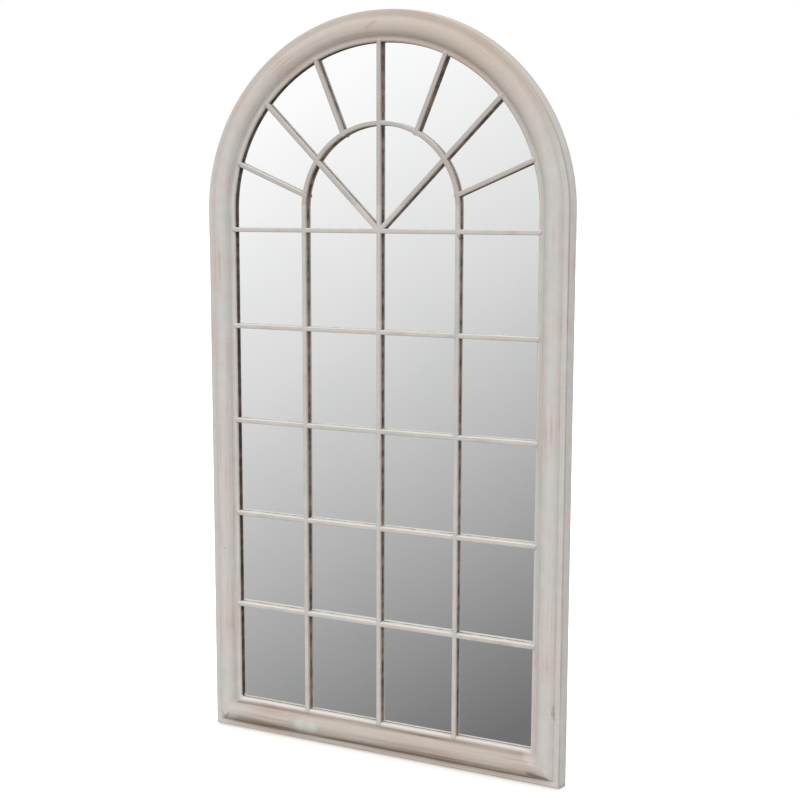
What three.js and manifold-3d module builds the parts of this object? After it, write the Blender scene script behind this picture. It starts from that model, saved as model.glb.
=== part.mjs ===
// Arched window mirror: a formed steel moulding round a mirror glass, with a grille of welded glazing bars.
// Millimetres. +Z is up and the front faces -Y. The origin is mid-width and mid-depth at the bottom edge.
import * as THREE from 'three';
import { mergeVertices } from 'three/addons/utils/BufferGeometryUtils.js';
import Module from 'manifold-3d';

const wasm = await Module();
wasm.setup();

// Overall size
const overallWidth = 600;
const overallHeight = 1160;
const frameDepth = 30;

// Moulding section, measured inwards from the outer edge and forwards from the wall
const stileFace = 50;
const railFace = 55;
const sheet = 1.2;
const flangeWidth = 12;
const sideDraft = 3.5;
const arrisRadius = 3;
const shoulderFall = 1;
const creaseInset = 13;
const torusRise = 9;
const grooveWidth = 2.2;
const grooveDepth = 2;
const beadRadius = 3.4;
const beadDrop = 5;
const ledgeWidth = 16;
const seamGap = 0.2;

// Glazing, from the wall forwards
const wallClearance = 3.2;
const boardThickness = 3;
const glassThickness = 3;
const glassOverlap = 6;
const boardInset = 1;
const clearance = 0.3;

// Glazing bars
const barWidth = 7;
const barDepth = 9.5;
const barEdgeRadius = 1.6;
const barLap = 2.5;
const columns = 4;
const rows = 5;
const topBarDrop = 29;
const lowestPaneExtra = 8;
const fanLift = 5;
const rayStep = 22.3;

// Retaining clips and their screws
const clipSheet = 1.2;
const clipWidth = 16;
const clipGrip = 10;
const clipFoot = 8.2;
const clipEdgeGap = 1;
const clipsPerStile = 3;
const clipEndInset = 130;
const archClipAngle = 52;
const screwRadius = 1.5;
const screwLength = 7;
const screwHeadRadius = 3;
const screwHeadHeight = 1.8;

// Hanger plates and their rivets
const hangerSheet = 1.5;
const hangerWidth = 27;
const hangerHeight = 60;
const hangerEdgeGap = 2.6;
const hangerDrop = 60;
const keyholeRadius = 5.5;
const keySlotRadius = 2.7;
const keySlotRise = 15;
const rivetRadius = 1.6;
const rivetHeadRadius = 3;
const rivetHeadHeight = 1.1;
const rivetEndInset = 8;

// Facets
const archSteps = 30;
const innerArchSteps = 36;
const torusSteps = 8;
const beadSteps = 5;
const holeSides = 12;

// Sizes that follow
const wallY = frameDepth / 2;
const archRadius = overallWidth / 2;
const archCentre = overallHeight - archRadius;
const openingHalf = archRadius - stileFace;
const boardBack = wallClearance + clipSheet + clearance;
const glassBack = boardBack + boardThickness + clearance;
const glassFront = glassBack + glassThickness;
const ledgeBack = glassFront + clearance;
const barBack = glassFront + clearance;
const barFront = barBack + barDepth;
const barMiddle = (barBack + barFront) / 2;
const creaseHeight = frameDepth - torusRise;
const paneWidth = (2 * openingHalf - (columns - 1) * barWidth) / columns;
const columnPitch = paneWidth + barWidth;
const topBarHeight = archCentre - topBarDrop;
const rowPitch = (topBarHeight - railFace - lowestPaneExtra) / rows;
const innerArchRadius = columnPitch;
const innerArchCentre = archCentre + fanLift;
const footBack = ledgeBack - clearance - clipSheet;
const screwInset = glassOverlap + clipEdgeGap + clipSheet + (clipFoot - clipSheet) / 2;
const hangerBack = sheet + clearance;
const rivetPitch = hangerHeight - 2 * rivetEndInset;

const finishes = {
  frame: new THREE.MeshStandardMaterial({ color: 0xc9c1b7, roughness: 0.62, metalness: 0.0 }),
  bars: new THREE.MeshStandardMaterial({ color: 0xd6cec5, roughness: 0.6, metalness: 0.0 }),
  mirror: new THREE.MeshStandardMaterial({ color: 0xe8eae9, roughness: 0.02, metalness: 1.0 }),
  board: new THREE.MeshStandardMaterial({ color: 0x6f5238, roughness: 0.85, metalness: 0.0 }),
  fittings: new THREE.MeshStandardMaterial({ color: 0xb4b6b8, roughness: 0.38, metalness: 1.0 }),
};

const part = new THREE.Group();

function addPiece(name, geometry, finish) {
  const mesh = new THREE.Mesh(geometry, finish);
  mesh.name = name;
  part.add(mesh);
}

// A point in the plane of the frame, at a distance forwards from the wall.
function onPlane(x, z, forwards) {
  return new THREE.Vector3(x, wallY - forwards, z);
}

// Closed solid through a flat section carried from station to station. A section point is
// (across, forwards). A station gives the point in the frame's plane where across is 0, and
// the direction in which across is measured there.
function loft(section, stations) {
  const outline = THREE.ShapeUtils.isClockWise(section) ? [...section].reverse() : section;
  const count = outline.length;
  const positions = [];
  for (const station of stations) {
    for (const point of outline) {
      const x = station.x + station.acrossX * point.x;
      const z = station.z + station.acrossZ * point.x;
      positions.push(...onPlane(x, z, point.y).toArray());
    }
  }
  const indices = [];
  for (let step = 0; step < stations.length - 1; step += 1) {
    for (let i = 0; i < count; i += 1) {
      const a = step * count + i;
      const b = step * count + ((i + 1) % count);
      indices.push(a, b, a + count, b, b + count, a + count);
    }
  }
  const lastRing = (stations.length - 1) * count;
  for (const [a, b, c] of THREE.ShapeUtils.triangulateShape(outline, [])) {
    indices.push(a, c, b);
    indices.push(lastRing + a, lastRing + b, lastRing + c);
  }
  const geometry = new THREE.BufferGeometry();
  geometry.setAttribute('position', new THREE.Float32BufferAttribute(positions, 3));
  geometry.setIndex(indices);
  return faceOut(geometry);
}

// Turns every triangle over if the solid is inside out.
function faceOut(geometry) {
  const position = geometry.attributes.position;
  const index = geometry.index.array;
  const corners = [new THREE.Vector3(), new THREE.Vector3(), new THREE.Vector3()];
  let volume = 0;
  for (let i = 0; i < index.length; i += 3) {
    corners.forEach((corner, k) => corner.fromBufferAttribute(position, index[i + k]));
    volume += corners[0].dot(corners[1].clone().cross(corners[2]));
  }
  if (volume < 0) {
    for (let i = 0; i < index.length; i += 3) {
      [index[i], index[i + 1]] = [index[i + 1], index[i]];
    }
  }
  return geometry;
}

function toSolid(geometry) {
  const bare = geometry.clone();
  bare.deleteAttribute('normal');
  bare.deleteAttribute('uv');
  const merged = mergeVertices(bare, 1e-4);
  return new wasm.Manifold(new wasm.Mesh({
    numProp: 3,
    vertProperties: new Float32Array(merged.attributes.position.array),
    triVerts: new Uint32Array(merged.index.array),
  }));
}

function toGeometry(solid) {
  const mesh = solid.getMesh();
  const geometry = new THREE.BufferGeometry();
  geometry.setAttribute('position', new THREE.BufferAttribute(mesh.vertProperties, 3));
  geometry.setIndex(new THREE.BufferAttribute(mesh.triVerts, 1));
  return geometry;
}

function cut(geometry, cutters) {
  let solid = toSolid(geometry);
  for (const cutter of cutters) {
    solid = solid.subtract(toSolid(cutter));
  }
  return toGeometry(solid);
}

// Moulding section

// Points on a circular arc, both ends included, with angles in degrees.
function arcPoints(centreX, centreY, radius, startAngle, endAngle, steps) {
  const points = [];
  for (let i = 0; i <= steps; i += 1) {
    const angle = THREE.MathUtils.degToRad(startAngle + ((endAngle - startAngle) * i) / steps);
    points.push(new THREE.Vector2(centreX + radius * Math.cos(angle), centreY + radius * Math.sin(angle)));
  }
  return points;
}

// The sheet's outer skin, from the flange that lies on the wall, round the face, to the glass ledge.
// The face is as wide as asked, with every inset stretched so that mitred lengths meet line for line.
function mouldingSkin(face) {
  const stretch = face / stileFace;
  const torusStart = creaseInset;
  const torusEnd = stileFace - 2 * beadRadius - grooveWidth;
  const halfTorus = (torusEnd - torusStart) / 2;
  const torusRadius = (halfTorus ** 2 + torusRise ** 2) / (2 * torusRise);
  const torusAngle = THREE.MathUtils.radToDeg(Math.asin(halfTorus / torusRadius));
  const torusCentreX = torusStart + halfTorus;
  const beadCentreX = stileFace - beadRadius;
  const beadCentreY = creaseHeight - beadDrop;
  const shoulderHeight = creaseHeight + shoulderFall;
  const arrisX = sideDraft + arrisRadius;
  const points = [
    new THREE.Vector2(flangeWidth, 0),
    new THREE.Vector2(0, 0),
    ...arcPoints(arrisX, shoulderHeight - arrisRadius, arrisRadius, 172, 90, 3),
    ...arcPoints(torusCentreX, frameDepth - torusRadius, torusRadius, 90 + torusAngle, 90 - torusAngle, torusSteps),
    new THREE.Vector2(torusEnd + grooveWidth / 2, creaseHeight - grooveDepth),
    ...arcPoints(beadCentreX, beadCentreY, beadRadius, 165, 0, beadSteps),
    new THREE.Vector2(stileFace, ledgeBack),
    new THREE.Vector2(stileFace - ledgeWidth, ledgeBack),
  ];
  return points.map((point) => new THREE.Vector2(point.x * stretch, point.y));
}

// Closed outline of the bent sheet: the skin, and back along a line one sheet thickness inside it.
function mouldingSection(face) {
  const skin = mouldingSkin(face);
  const inside = skin.map((point, i) => {
    const before = skin[Math.max(i - 1, 0)];
    const after = skin[Math.min(i + 1, skin.length - 1)];
    const normalIn = i > 0 ? inwardNormal(before, point) : inwardNormal(point, after);
    const normalOut = i < skin.length - 1 ? inwardNormal(point, after) : normalIn;
    const bisector = normalIn.clone().add(normalOut).normalize();
    return point.clone().addScaledVector(bisector, sheet / bisector.dot(normalIn));
  });
  return [...skin, ...inside.reverse()];
}

function inwardNormal(from, to) {
  const along = to.clone().sub(from).normalize();
  return new THREE.Vector2(along.y, -along.x);
}

// The same moulding as a filled block, larger by the clearance on the sides that face the bars.
// Glazing bars are trimmed with it where they lap onto the inner bead.
function trimSection(face) {
  const skin = mouldingSkin(face).slice(1);
  return skin.map((point) => {
    const step = point.y > ledgeBack ? clearance : -clearance;
    return new THREE.Vector2(point.x + clearance, point.y + step);
  });
}

// Stations along the moulding

// The mitre plane at a bottom corner runs from the outer corner to the opening's corner.
function mitreStation(side, face, lift) {
  return {
    x: side * archRadius,
    z: lift,
    acrossX: (-side * stileFace) / face,
    acrossZ: railFace / face,
  };
}

function stileStations(side) {
  const top = { x: side * archRadius, z: archCentre - seamGap, acrossX: -side, acrossZ: 0 };
  return [mitreStation(side, stileFace, seamGap), top];
}

function railStations() {
  return [mitreStation(-1, railFace, 0), mitreStation(1, railFace, 0)];
}

// Both arch halves run from the spring line to the seam at the crown.
function archStations(side) {
  const end = Math.PI / 2 - seamGap / (2 * openingHalf);
  const stations = [];
  for (let i = 0; i <= archSteps; i += 1) {
    const angle = (end * i) / archSteps;
    const outX = side * Math.cos(angle);
    const outZ = Math.sin(angle);
    stations.push({
      x: archRadius * outX,
      z: archCentre + archRadius * outZ,
      acrossX: -outX,
      acrossZ: -outZ,
    });
  }
  return stations;
}

// Places on the edge of the opening, with the direction that points away from it.
function stileEdge(side, height) {
  return { x: side * openingHalf, z: height, outX: side, outZ: 0 };
}

function railEdge(x) {
  return { x, z: railFace, outX: 0, outZ: -1 };
}

function archEdge(angle) {
  const radians = THREE.MathUtils.degToRad(angle);
  const outX = Math.cos(radians);
  const outZ = Math.sin(radians);
  return { x: openingHalf * outX, z: archCentre + openingHalf * outZ, outX, outZ };
}

function outFromEdge(edge, distance) {
  return new THREE.Vector2(edge.x + edge.outX * distance, edge.z + edge.outZ * distance);
}

// Round cutter along Y through a sheet, from one distance from the wall to another.
function holeCutter(x, z, radius, from, to) {
  const geometry = new THREE.CylinderGeometry(radius, radius, to - from, holeSides);
  const middle = onPlane(x, z, (from + to) / 2);
  return geometry.translate(middle.x, middle.y, middle.z);
}

// Clip places: up both stiles, along the rail and on both arch halves
function clipEdges() {
  const edges = [];
  const lowest = railFace + clipEndInset;
  const highest = archCentre - clipEndInset;
  for (const side of [-1, 1]) {
    for (let i = 0; i < clipsPerStile; i += 1) {
      const height = lowest + ((highest - lowest) * i) / (clipsPerStile - 1);
      edges.push({ holder: side < 0 ? 'left_stile' : 'right_stile', ...stileEdge(side, height) });
    }
    edges.push({ holder: 'bottom_rail', ...railEdge(side * (openingHalf - clipEndInset)) });
    const angle = side < 0 ? 180 - archClipAngle : archClipAngle;
    edges.push({ holder: side < 0 ? 'left_arch' : 'right_arch', ...archEdge(angle) });
  }
  return edges;
}

const clips = clipEdges();
const hangerHeightAt = archCentre - hangerDrop;

function hangerRivetPlaces(side) {
  const x = side * (archRadius - flangeWidth / 2 - sheet);
  return [-1, 1].map((end) => new THREE.Vector2(x, hangerHeightAt + (end * rivetPitch) / 2));
}

// Frame: five lengths of the moulding, drilled for the clip screws and the hanger rivets
function clipHoles(holder) {
  return clips.filter((clip) => clip.holder === holder).map((clip) => {
    const place = outFromEdge(clip, screwInset);
    const hole = screwRadius + clearance;
    return holeCutter(place.x, place.y, hole, ledgeBack - sheet, ledgeBack + 2 * sheet);
  });
}

function rivetHoles(side) {
  const hole = rivetRadius + clearance;
  return hangerRivetPlaces(side).map((place) => holeCutter(place.x, place.y, hole, -sheet, 2 * sheet));
}

const frameLengths = [
  { name: 'bottom_rail', face: railFace, stations: railStations(), holes: [] },
  { name: 'left_stile', face: stileFace, stations: stileStations(-1), holes: rivetHoles(-1) },
  { name: 'right_stile', face: stileFace, stations: stileStations(1), holes: rivetHoles(1) },
  { name: 'left_arch', face: stileFace, stations: archStations(-1), holes: [] },
  { name: 'right_arch', face: stileFace, stations: archStations(1), holes: [] },
];

for (const length of frameLengths) {
  const blank = loft(mouldingSection(length.face), length.stations);
  addPiece(length.name, cut(blank, [...clipHoles(length.name), ...length.holes]), finishes.frame);
}

const frameTrims = frameLengths.map((length) => loft(trimSection(length.face), length.stations));

// Mirror glass and backing board
function archedPlate(margin, back, thickness) {
  const half = openingHalf + margin;
  const shape = new THREE.Shape();
  shape.moveTo(-half, railFace - margin);
  shape.lineTo(half, railFace - margin);
  shape.lineTo(half, archCentre);
  shape.absarc(0, archCentre, half, 0, Math.PI, false);
  shape.closePath();
  const settings = { depth: thickness, bevelEnabled: false, curveSegments: 2 * archSteps };
  const geometry = new THREE.ExtrudeGeometry(shape, settings);
  return geometry.rotateX(Math.PI / 2).translate(0, wallY - back, 0);
}

addPiece('mirror_glass', archedPlate(glassOverlap, glassBack, glassThickness), finishes.mirror);
addPiece('backing_board', archedPlate(glassOverlap - boardInset, boardBack, boardThickness), finishes.board);

// Glazing bars
function barSection() {
  const half = barWidth / 2;
  const edge = barEdgeRadius;
  return [
    new THREE.Vector2(-half, barBack),
    new THREE.Vector2(half, barBack),
    ...arcPoints(half - edge, barFront - edge, edge, 0, 90, 3),
    ...arcPoints(edge - half, barFront - edge, edge, 90, 180, 3),
  ];
}

// Plain block as wide as a bar's slot, used to notch the bars that cross it.
function slotSection(from, to) {
  const half = barWidth / 2 + clearance;
  return [
    new THREE.Vector2(-half, from),
    new THREE.Vector2(half, from),
    new THREE.Vector2(half, to),
    new THREE.Vector2(-half, to),
  ];
}

function straightStations(startX, startZ, endX, endZ) {
  const along = new THREE.Vector2(endX - startX, endZ - startZ).normalize();
  const across = { acrossX: along.y, acrossZ: -along.x };
  return [{ x: startX, z: startZ, ...across }, { x: endX, z: endZ, ...across }];
}

function innerArchStations() {
  const stations = [];
  const end = clearance / (2 * innerArchRadius);
  for (let i = 0; i <= innerArchSteps; i += 1) {
    const angle = end + ((Math.PI - 2 * end) * i) / innerArchSteps;
    stations.push({
      x: innerArchRadius * Math.cos(angle),
      z: innerArchCentre + innerArchRadius * Math.sin(angle),
      acrossX: Math.cos(angle),
      acrossZ: Math.sin(angle),
    });
  }
  return stations;
}

// A ray leaves the junction on the top bar and ends on the bead of the arch.
function rayStations(angle, startDistance) {
  const radians = THREE.MathUtils.degToRad(angle);
  const dirX = Math.cos(radians);
  const dirZ = Math.sin(radians);
  const reach = openingHalf + barLap;
  const rootTerm = reach ** 2 - (topBarDrop * dirX) ** 2;
  const endDistance = topBarDrop * dirZ + Math.sqrt(rootTerm);
  const place = (distance) => [dirX * distance, topBarHeight + dirZ * distance];
  return straightStations(...place(startDistance), ...place(endDistance));
}

const barEndX = openingHalf + barLap;
const barFootZ = railFace - barLap;
const crossBars = [];
for (let row = 0; row < rows; row += 1) {
  const height = topBarHeight - row * rowPitch;
  crossBars.push({ name: `cross_bar_${row + 1}`, stations: straightStations(-barEndX, height, barEndX, height) });
}

const uprightTop = innerArchCentre - clearance / 2;
const sideBars = [
  { name: 'left_bar', stations: straightStations(-columnPitch, barFootZ, -columnPitch, uprightTop) },
  { name: 'right_bar', stations: straightStations(columnPitch, barFootZ, columnPitch, uprightTop) },
];
const crownZ = archCentre + openingHalf + barLap;
const centreBar = { name: 'centre_bar', stations: straightStations(0, barFootZ, 0, crownZ) };
const innerArch = { name: 'inner_arch', stations: innerArchStations() };
const longRays = [
  { name: 'left_long_ray', stations: rayStations(90 + 2 * rayStep, 0) },
  { name: 'right_long_ray', stations: rayStations(90 - 2 * rayStep, 0) },
];
const shortRays = [
  { name: 'left_low_ray', stations: rayStations(90 + 3 * rayStep, innerArchRadius) },
  { name: 'left_high_ray', stations: rayStations(90 + rayStep, innerArchRadius) },
  { name: 'right_high_ray', stations: rayStations(90 - rayStep, innerArchRadius) },
  { name: 'right_low_ray', stations: rayStations(90 - 3 * rayStep, innerArchRadius) },
];

// Slots that one bar needs where it meets another: behind it, in front of it, or right through.
function slotBehind(bar) {
  return loft(slotSection(barBack - barWidth, barMiddle + clearance / 2), bar.stations);
}

function slotInFront(bar) {
  return loft(slotSection(barMiddle - clearance / 2, barFront + barWidth), bar.stations);
}

function slotThrough(bar) {
  return loft(slotSection(barBack - barWidth, barFront + barWidth), bar.stations);
}

// Everything inside the inner arch's outer edge, so that a short ray stops at it.
function innerArchDisc() {
  const radius = innerArchRadius + barWidth / 2 + clearance;
  const height = barDepth + 2 * barWidth;
  const geometry = new THREE.CylinderGeometry(radius, radius, height, 4 * innerArchSteps);
  const middle = onPlane(0, innerArchCentre, barMiddle);
  return geometry.translate(middle.x, middle.y, middle.z);
}

function addBar(bar, cutters) {
  addPiece(bar.name, cut(loft(barSection(), bar.stations), cutters), finishes.bars);
}

const uprights = [...sideBars, centreBar];
for (const bar of crossBars) {
  addBar(bar, [...frameTrims, ...uprights.map(slotBehind)]);
}
for (const bar of sideBars) {
  addBar(bar, [...frameTrims, ...crossBars.map(slotInFront)]);
}
addBar(centreBar, [...frameTrims, ...crossBars.map(slotInFront), slotBehind(innerArch)]);
addBar(innerArch, [slotInFront(centreBar), ...longRays.map(slotInFront)]);
for (const bar of longRays) {
  addBar(bar, [...frameTrims, slotThrough(centreBar), slotThrough(crossBars[0]), slotBehind(innerArch)]);
}
for (const bar of shortRays) {
  addBar(bar, [...frameTrims, innerArchDisc()]);
}

// Retaining clips: a foot on the ledge, a riser past the glass edge and a tongue behind the board
function clipSection() {
  const riserIn = glassOverlap + clipEdgeGap;
  const riserOut = riserIn + clipSheet;
  const footOut = riserIn + clipFoot;
  const tongueEnd = glassOverlap - boardInset - clipGrip;
  return [
    new THREE.Vector2(tongueEnd, wallClearance),
    new THREE.Vector2(riserOut, wallClearance),
    new THREE.Vector2(riserOut, footBack),
    new THREE.Vector2(footOut, footBack),
    new THREE.Vector2(footOut, footBack + clipSheet),
    new THREE.Vector2(riserIn, footBack + clipSheet),
    new THREE.Vector2(riserIn, wallClearance + clipSheet),
    new THREE.Vector2(tongueEnd, wallClearance + clipSheet),
  ];
}

function clipStations(edge) {
  return [-1, 1].map((end) => ({
    x: edge.x - (end * edge.outZ * clipWidth) / 2,
    z: edge.z + (end * edge.outX * clipWidth) / 2,
    acrossX: edge.outX,
    acrossZ: edge.outZ,
  }));
}

// Revolved fastener along Y. The profile is (radius, distance forwards from the wall).
function fastener(profile, x, z) {
  const points = profile.map(([radius, forwards]) => new THREE.Vector2(radius, -forwards));
  const geometry = new THREE.LatheGeometry(points.reverse(), holeSides);
  const middle = onPlane(x, z, 0);
  const merged = geometry.translate(middle.x, middle.y, middle.z);
  merged.deleteAttribute('normal');
  merged.deleteAttribute('uv');
  return faceOut(mergeVertices(merged, 1e-4));
}

function screwProfile() {
  const seat = footBack - clearance;
  const crown = seat - screwHeadHeight;
  const tip = seat + screwLength;
  return [
    [0, crown],
    [screwHeadRadius * 0.7, crown + screwHeadHeight * 0.2],
    [screwHeadRadius, crown + screwHeadHeight * 0.7],
    [screwHeadRadius, seat],
    [screwRadius, seat],
    [screwRadius, tip - screwRadius],
    [0, tip],
  ];
}

clips.forEach((edge, i) => {
  const number = String(i + 1).padStart(2, '0');
  const place = outFromEdge(edge, screwInset);
  const hole = holeCutter(place.x, place.y, screwRadius + clearance, footBack - sheet, ledgeBack);
  addPiece(`clip_${number}`, cut(loft(clipSection(), clipStations(edge)), [hole]), finishes.fittings);
  addPiece(`clip_screw_${number}`, fastener(screwProfile(), place.x, place.y), finishes.fittings);
});

// Hanger plates: a keyhole plate inside the flange of each stile, held by two flush rivets
function hangerPlate(side) {
  const outerX = archRadius - hangerEdgeGap;
  const innerX = outerX - hangerWidth;
  const low = hangerHeightAt - hangerHeight / 2;
  const high = hangerHeightAt + hangerHeight / 2;
  const shape = new THREE.Shape();
  shape.moveTo(side * innerX, low);
  shape.lineTo(side * outerX, low);
  shape.lineTo(side * outerX, high);
  shape.lineTo(side * innerX, high);
  shape.closePath();
  shape.holes.push(keyhole(side * keyholeX()));
  for (const place of hangerRivetPlaces(side)) {
    const rim = arcPoints(place.x, place.y, rivetRadius + clearance, 0, 360, holeSides);
    shape.holes.push(new THREE.Path(rim.slice(1)));
  }
  const settings = { depth: hangerSheet, bevelEnabled: false };
  const geometry = new THREE.ExtrudeGeometry(shape, settings);
  return geometry.rotateX(Math.PI / 2).translate(0, wallY - hangerBack, 0);
}

// The keyhole sits midway between the flange's edge and the plate's inner edge.
function keyholeX() {
  const plateInner = archRadius - hangerEdgeGap - hangerWidth;
  return (archRadius - flangeWidth + plateInner) / 2;
}

// A round entry with a slot above it, as one outline.
function keyhole(x) {
  const entryZ = hangerHeightAt - keySlotRise / 2;
  const slotZ = entryZ + keySlotRise;
  const meet = THREE.MathUtils.radToDeg(Math.acos(keySlotRadius / keyholeRadius));
  return new THREE.Path([
    ...arcPoints(x, entryZ, keyholeRadius, 180 - meet, 360 + meet, holeSides),
    ...arcPoints(x, slotZ, keySlotRadius, 0, 180, holeSides / 2),
  ]);
}

function rivetProfile() {
  const seat = hangerBack + hangerSheet + clearance;
  const crown = seat + rivetHeadHeight;
  return [
    [0, clearance],
    [rivetRadius, clearance],
    [rivetRadius, seat],
    [rivetHeadRadius, seat],
    [rivetHeadRadius * 0.75, crown - rivetHeadHeight * 0.2],
    [0, crown],
  ];
}

for (const [side, word] of [[-1, 'left'], [1, 'right']]) {
  addPiece(`${word}_hanger`, hangerPlate(side), finishes.fittings);
  hangerRivetPlaces(side).forEach((place, i) => {
    addPiece(`${word}_hanger_rivet_${i + 1}`, fastener(rivetProfile(), place.x, place.y), finishes.fittings);
  });
}

export default part;
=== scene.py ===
import math

import bpy
import bmesh
from mathutils import Matrix, Vector


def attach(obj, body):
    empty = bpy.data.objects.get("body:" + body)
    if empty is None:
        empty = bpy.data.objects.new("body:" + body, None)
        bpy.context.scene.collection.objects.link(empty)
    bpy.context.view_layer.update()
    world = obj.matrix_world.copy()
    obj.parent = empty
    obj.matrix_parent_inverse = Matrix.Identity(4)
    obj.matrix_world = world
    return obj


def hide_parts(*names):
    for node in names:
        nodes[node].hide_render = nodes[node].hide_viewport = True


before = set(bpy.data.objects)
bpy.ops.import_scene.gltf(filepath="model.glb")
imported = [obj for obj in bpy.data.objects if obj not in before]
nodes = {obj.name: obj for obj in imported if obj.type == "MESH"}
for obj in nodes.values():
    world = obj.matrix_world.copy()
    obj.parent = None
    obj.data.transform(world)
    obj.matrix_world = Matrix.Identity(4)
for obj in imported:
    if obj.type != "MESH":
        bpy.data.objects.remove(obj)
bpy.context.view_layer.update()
scene = bpy.context.scene
mm = 0.001
wallY = 15.0  # the wall face in mm: a point d mm in front of the wall is at y = 15 - d


def hexColour(code):
    # sRGB hex to linear RGBA
    channels = [int(code[i:i + 2], 16) / 255 for i in (1, 3, 5)]
    return tuple(c / 12.92 if c <= 0.04045 else ((c + 0.055) / 1.055) ** 2.4 for c in channels) + (1.0,)


def addNode(tree, kind, inputs=None, stops=None, **settings):
    # one node, its settings, and its inputs as values or as sockets to link from
    node = tree.nodes.new(kind)
    for name, value in settings.items():
        setattr(node, name, value)
    for name, value in (inputs or {}).items():
        if isinstance(value, bpy.types.NodeSocket):
            tree.links.new(value, node.inputs[name])
        else:
            node.inputs[name].default_value = value
    if stops:
        ramp = node.color_ramp
        while len(ramp.elements) > 1:
            ramp.elements.remove(ramp.elements[-1])
        for i, (position, colour) in enumerate(stops):
            element = ramp.elements[0] if i == 0 else ramp.elements.new(position)
            element.position = position
            element.color = hexColour(colour) if isinstance(colour, str) else (colour, colour, colour, 1.0)
    return node


def perMetre(sizeMm):
    # pattern scale for a feature of that many millimetres, on coordinates in metres
    return 1000.0 / sizeMm


def newMaterial(name):
    material = bpy.data.materials.new(name)
    material.use_nodes = True
    material.node_tree.nodes.clear()
    return material, material.node_tree


def linkObject(name, mesh):
    piece = bpy.data.objects.new(name, mesh)
    scene.collection.objects.link(piece)
    return piece


camera = {
    "position": (0.73725, -1.6630, 0.86639),  # metres
    "azimuth": 22.93, "elevation": 6.88, "roll": 0.14,  # degrees
    "lens": 53.88, "sensor": 36.0,
    "shiftY": -0.06,  # the photograph's own framing
}


def makeCamera(c):
    azimuth, elevation, roll = (math.radians(c[k]) for k in ("azimuth", "elevation", "roll"))
    back = Vector((math.sin(azimuth) * math.cos(elevation), -math.cos(azimuth) * math.cos(elevation),
                   math.sin(elevation)))
    level = Vector((math.cos(azimuth), math.sin(azimuth), 0))
    up = back.cross(level)
    across = level * math.cos(roll) + up * math.sin(roll)
    upright = up * math.cos(roll) - level * math.sin(roll)
    lens = bpy.data.cameras.new("camera")
    lens.sensor_fit = "HORIZONTAL"
    lens.sensor_width = c["sensor"]
    lens.lens = c["lens"]
    lens.shift_y = c["shiftY"]
    lens.clip_start, lens.clip_end = 0.05, 60
    cam = linkObject("camera", lens)
    turned = Matrix((across, upright, back)).transposed().to_4x4()
    cam.matrix_world = Matrix.Translation(c["position"]) @ turned
    scene.camera = cam


makeCamera(camera)
scene.view_settings.view_transform = "Standard"
print("camera made")


# Studio: pale floor, soft light, a room that fades from white to grey for the mirror to see
studio = {
    "floorSize": 60.0, "floorColour": "#F4F3F1",
    "roomRamp": ((-0.349, "#FAFAFA"), (-0.273, "#EFEFEF"), (-0.197, "#E3E3E3"), (-0.12, "#D6D6D6"),
                 (-0.044, "#C6C6C6"), (0.032, "#B5B5B5"), (0.108, "#A1A1A1"), (0.185, "#8A8A8A"),
                 (0.261, "#707070")),
    "roomTilt": 0.56,  # how much darker the room gets to the right, against how much darker it gets downwards
    "mirrorLoss": 0.93,  # the glass gives back this much, so the room is that much brighter
    "fill": (0.52, 0.76),  # soft light from below and from above
    "suns": (  # azimuth to the right of straight ahead, elevation, softness in degrees, strength
        {"name": "key", "azimuth": -14, "elevation": 34, "soft": 60, "strength": 0.98},
        {"name": "side", "azimuth": 50, "elevation": 14, "soft": 80, "strength": 0.62},
        {"name": "behind", "azimuth": 175, "elevation": 40, "soft": 90, "strength": 1.3},
    ),
}


def makeFloor(s):
    half = s["floorSize"] / 2
    mesh = bpy.data.meshes.new("floor")
    mesh.from_pydata([(-half, -half, 0), (half, -half, 0), (half, half, 0), (-half, half, 0)], [],
                     [(0, 1, 2, 3)])
    floor = linkObject("floor", mesh)
    material, tree = newMaterial("pale studio paper")
    place = addNode(tree, "ShaderNodeTexCoord")
    speck = addNode(tree, "ShaderNodeTexNoise",
                    {"Vector": place.outputs["Object"], "Scale": perMetre(400), "Detail": 2.0})
    tone = addNode(tree, "ShaderNodeValToRGB", {"Fac": speck.outputs["Fac"]},
                   stops=((0.3, s["floorColour"]), (0.7, "#F7F6F4")))
    skin = addNode(tree, "ShaderNodeBsdfPrincipled", {"Base Color": tone.outputs["Color"], "Roughness": 0.9})
    skin.inputs["Specular IOR Level"].default_value = 0.0
    glow = addNode(tree, "ShaderNodeEmission", {"Color": hexColour("#FFFFFF"), "Strength": 0.35})
    both = addNode(tree, "ShaderNodeAddShader", {0: skin.outputs["BSDF"], 1: glow.outputs["Emission"]})
    addNode(tree, "ShaderNodeOutputMaterial", {"Surface": both.outputs["Shader"]})
    mesh.materials.append(material)
    floor.visible_glossy = False
    floor.visible_diffuse = False


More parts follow.
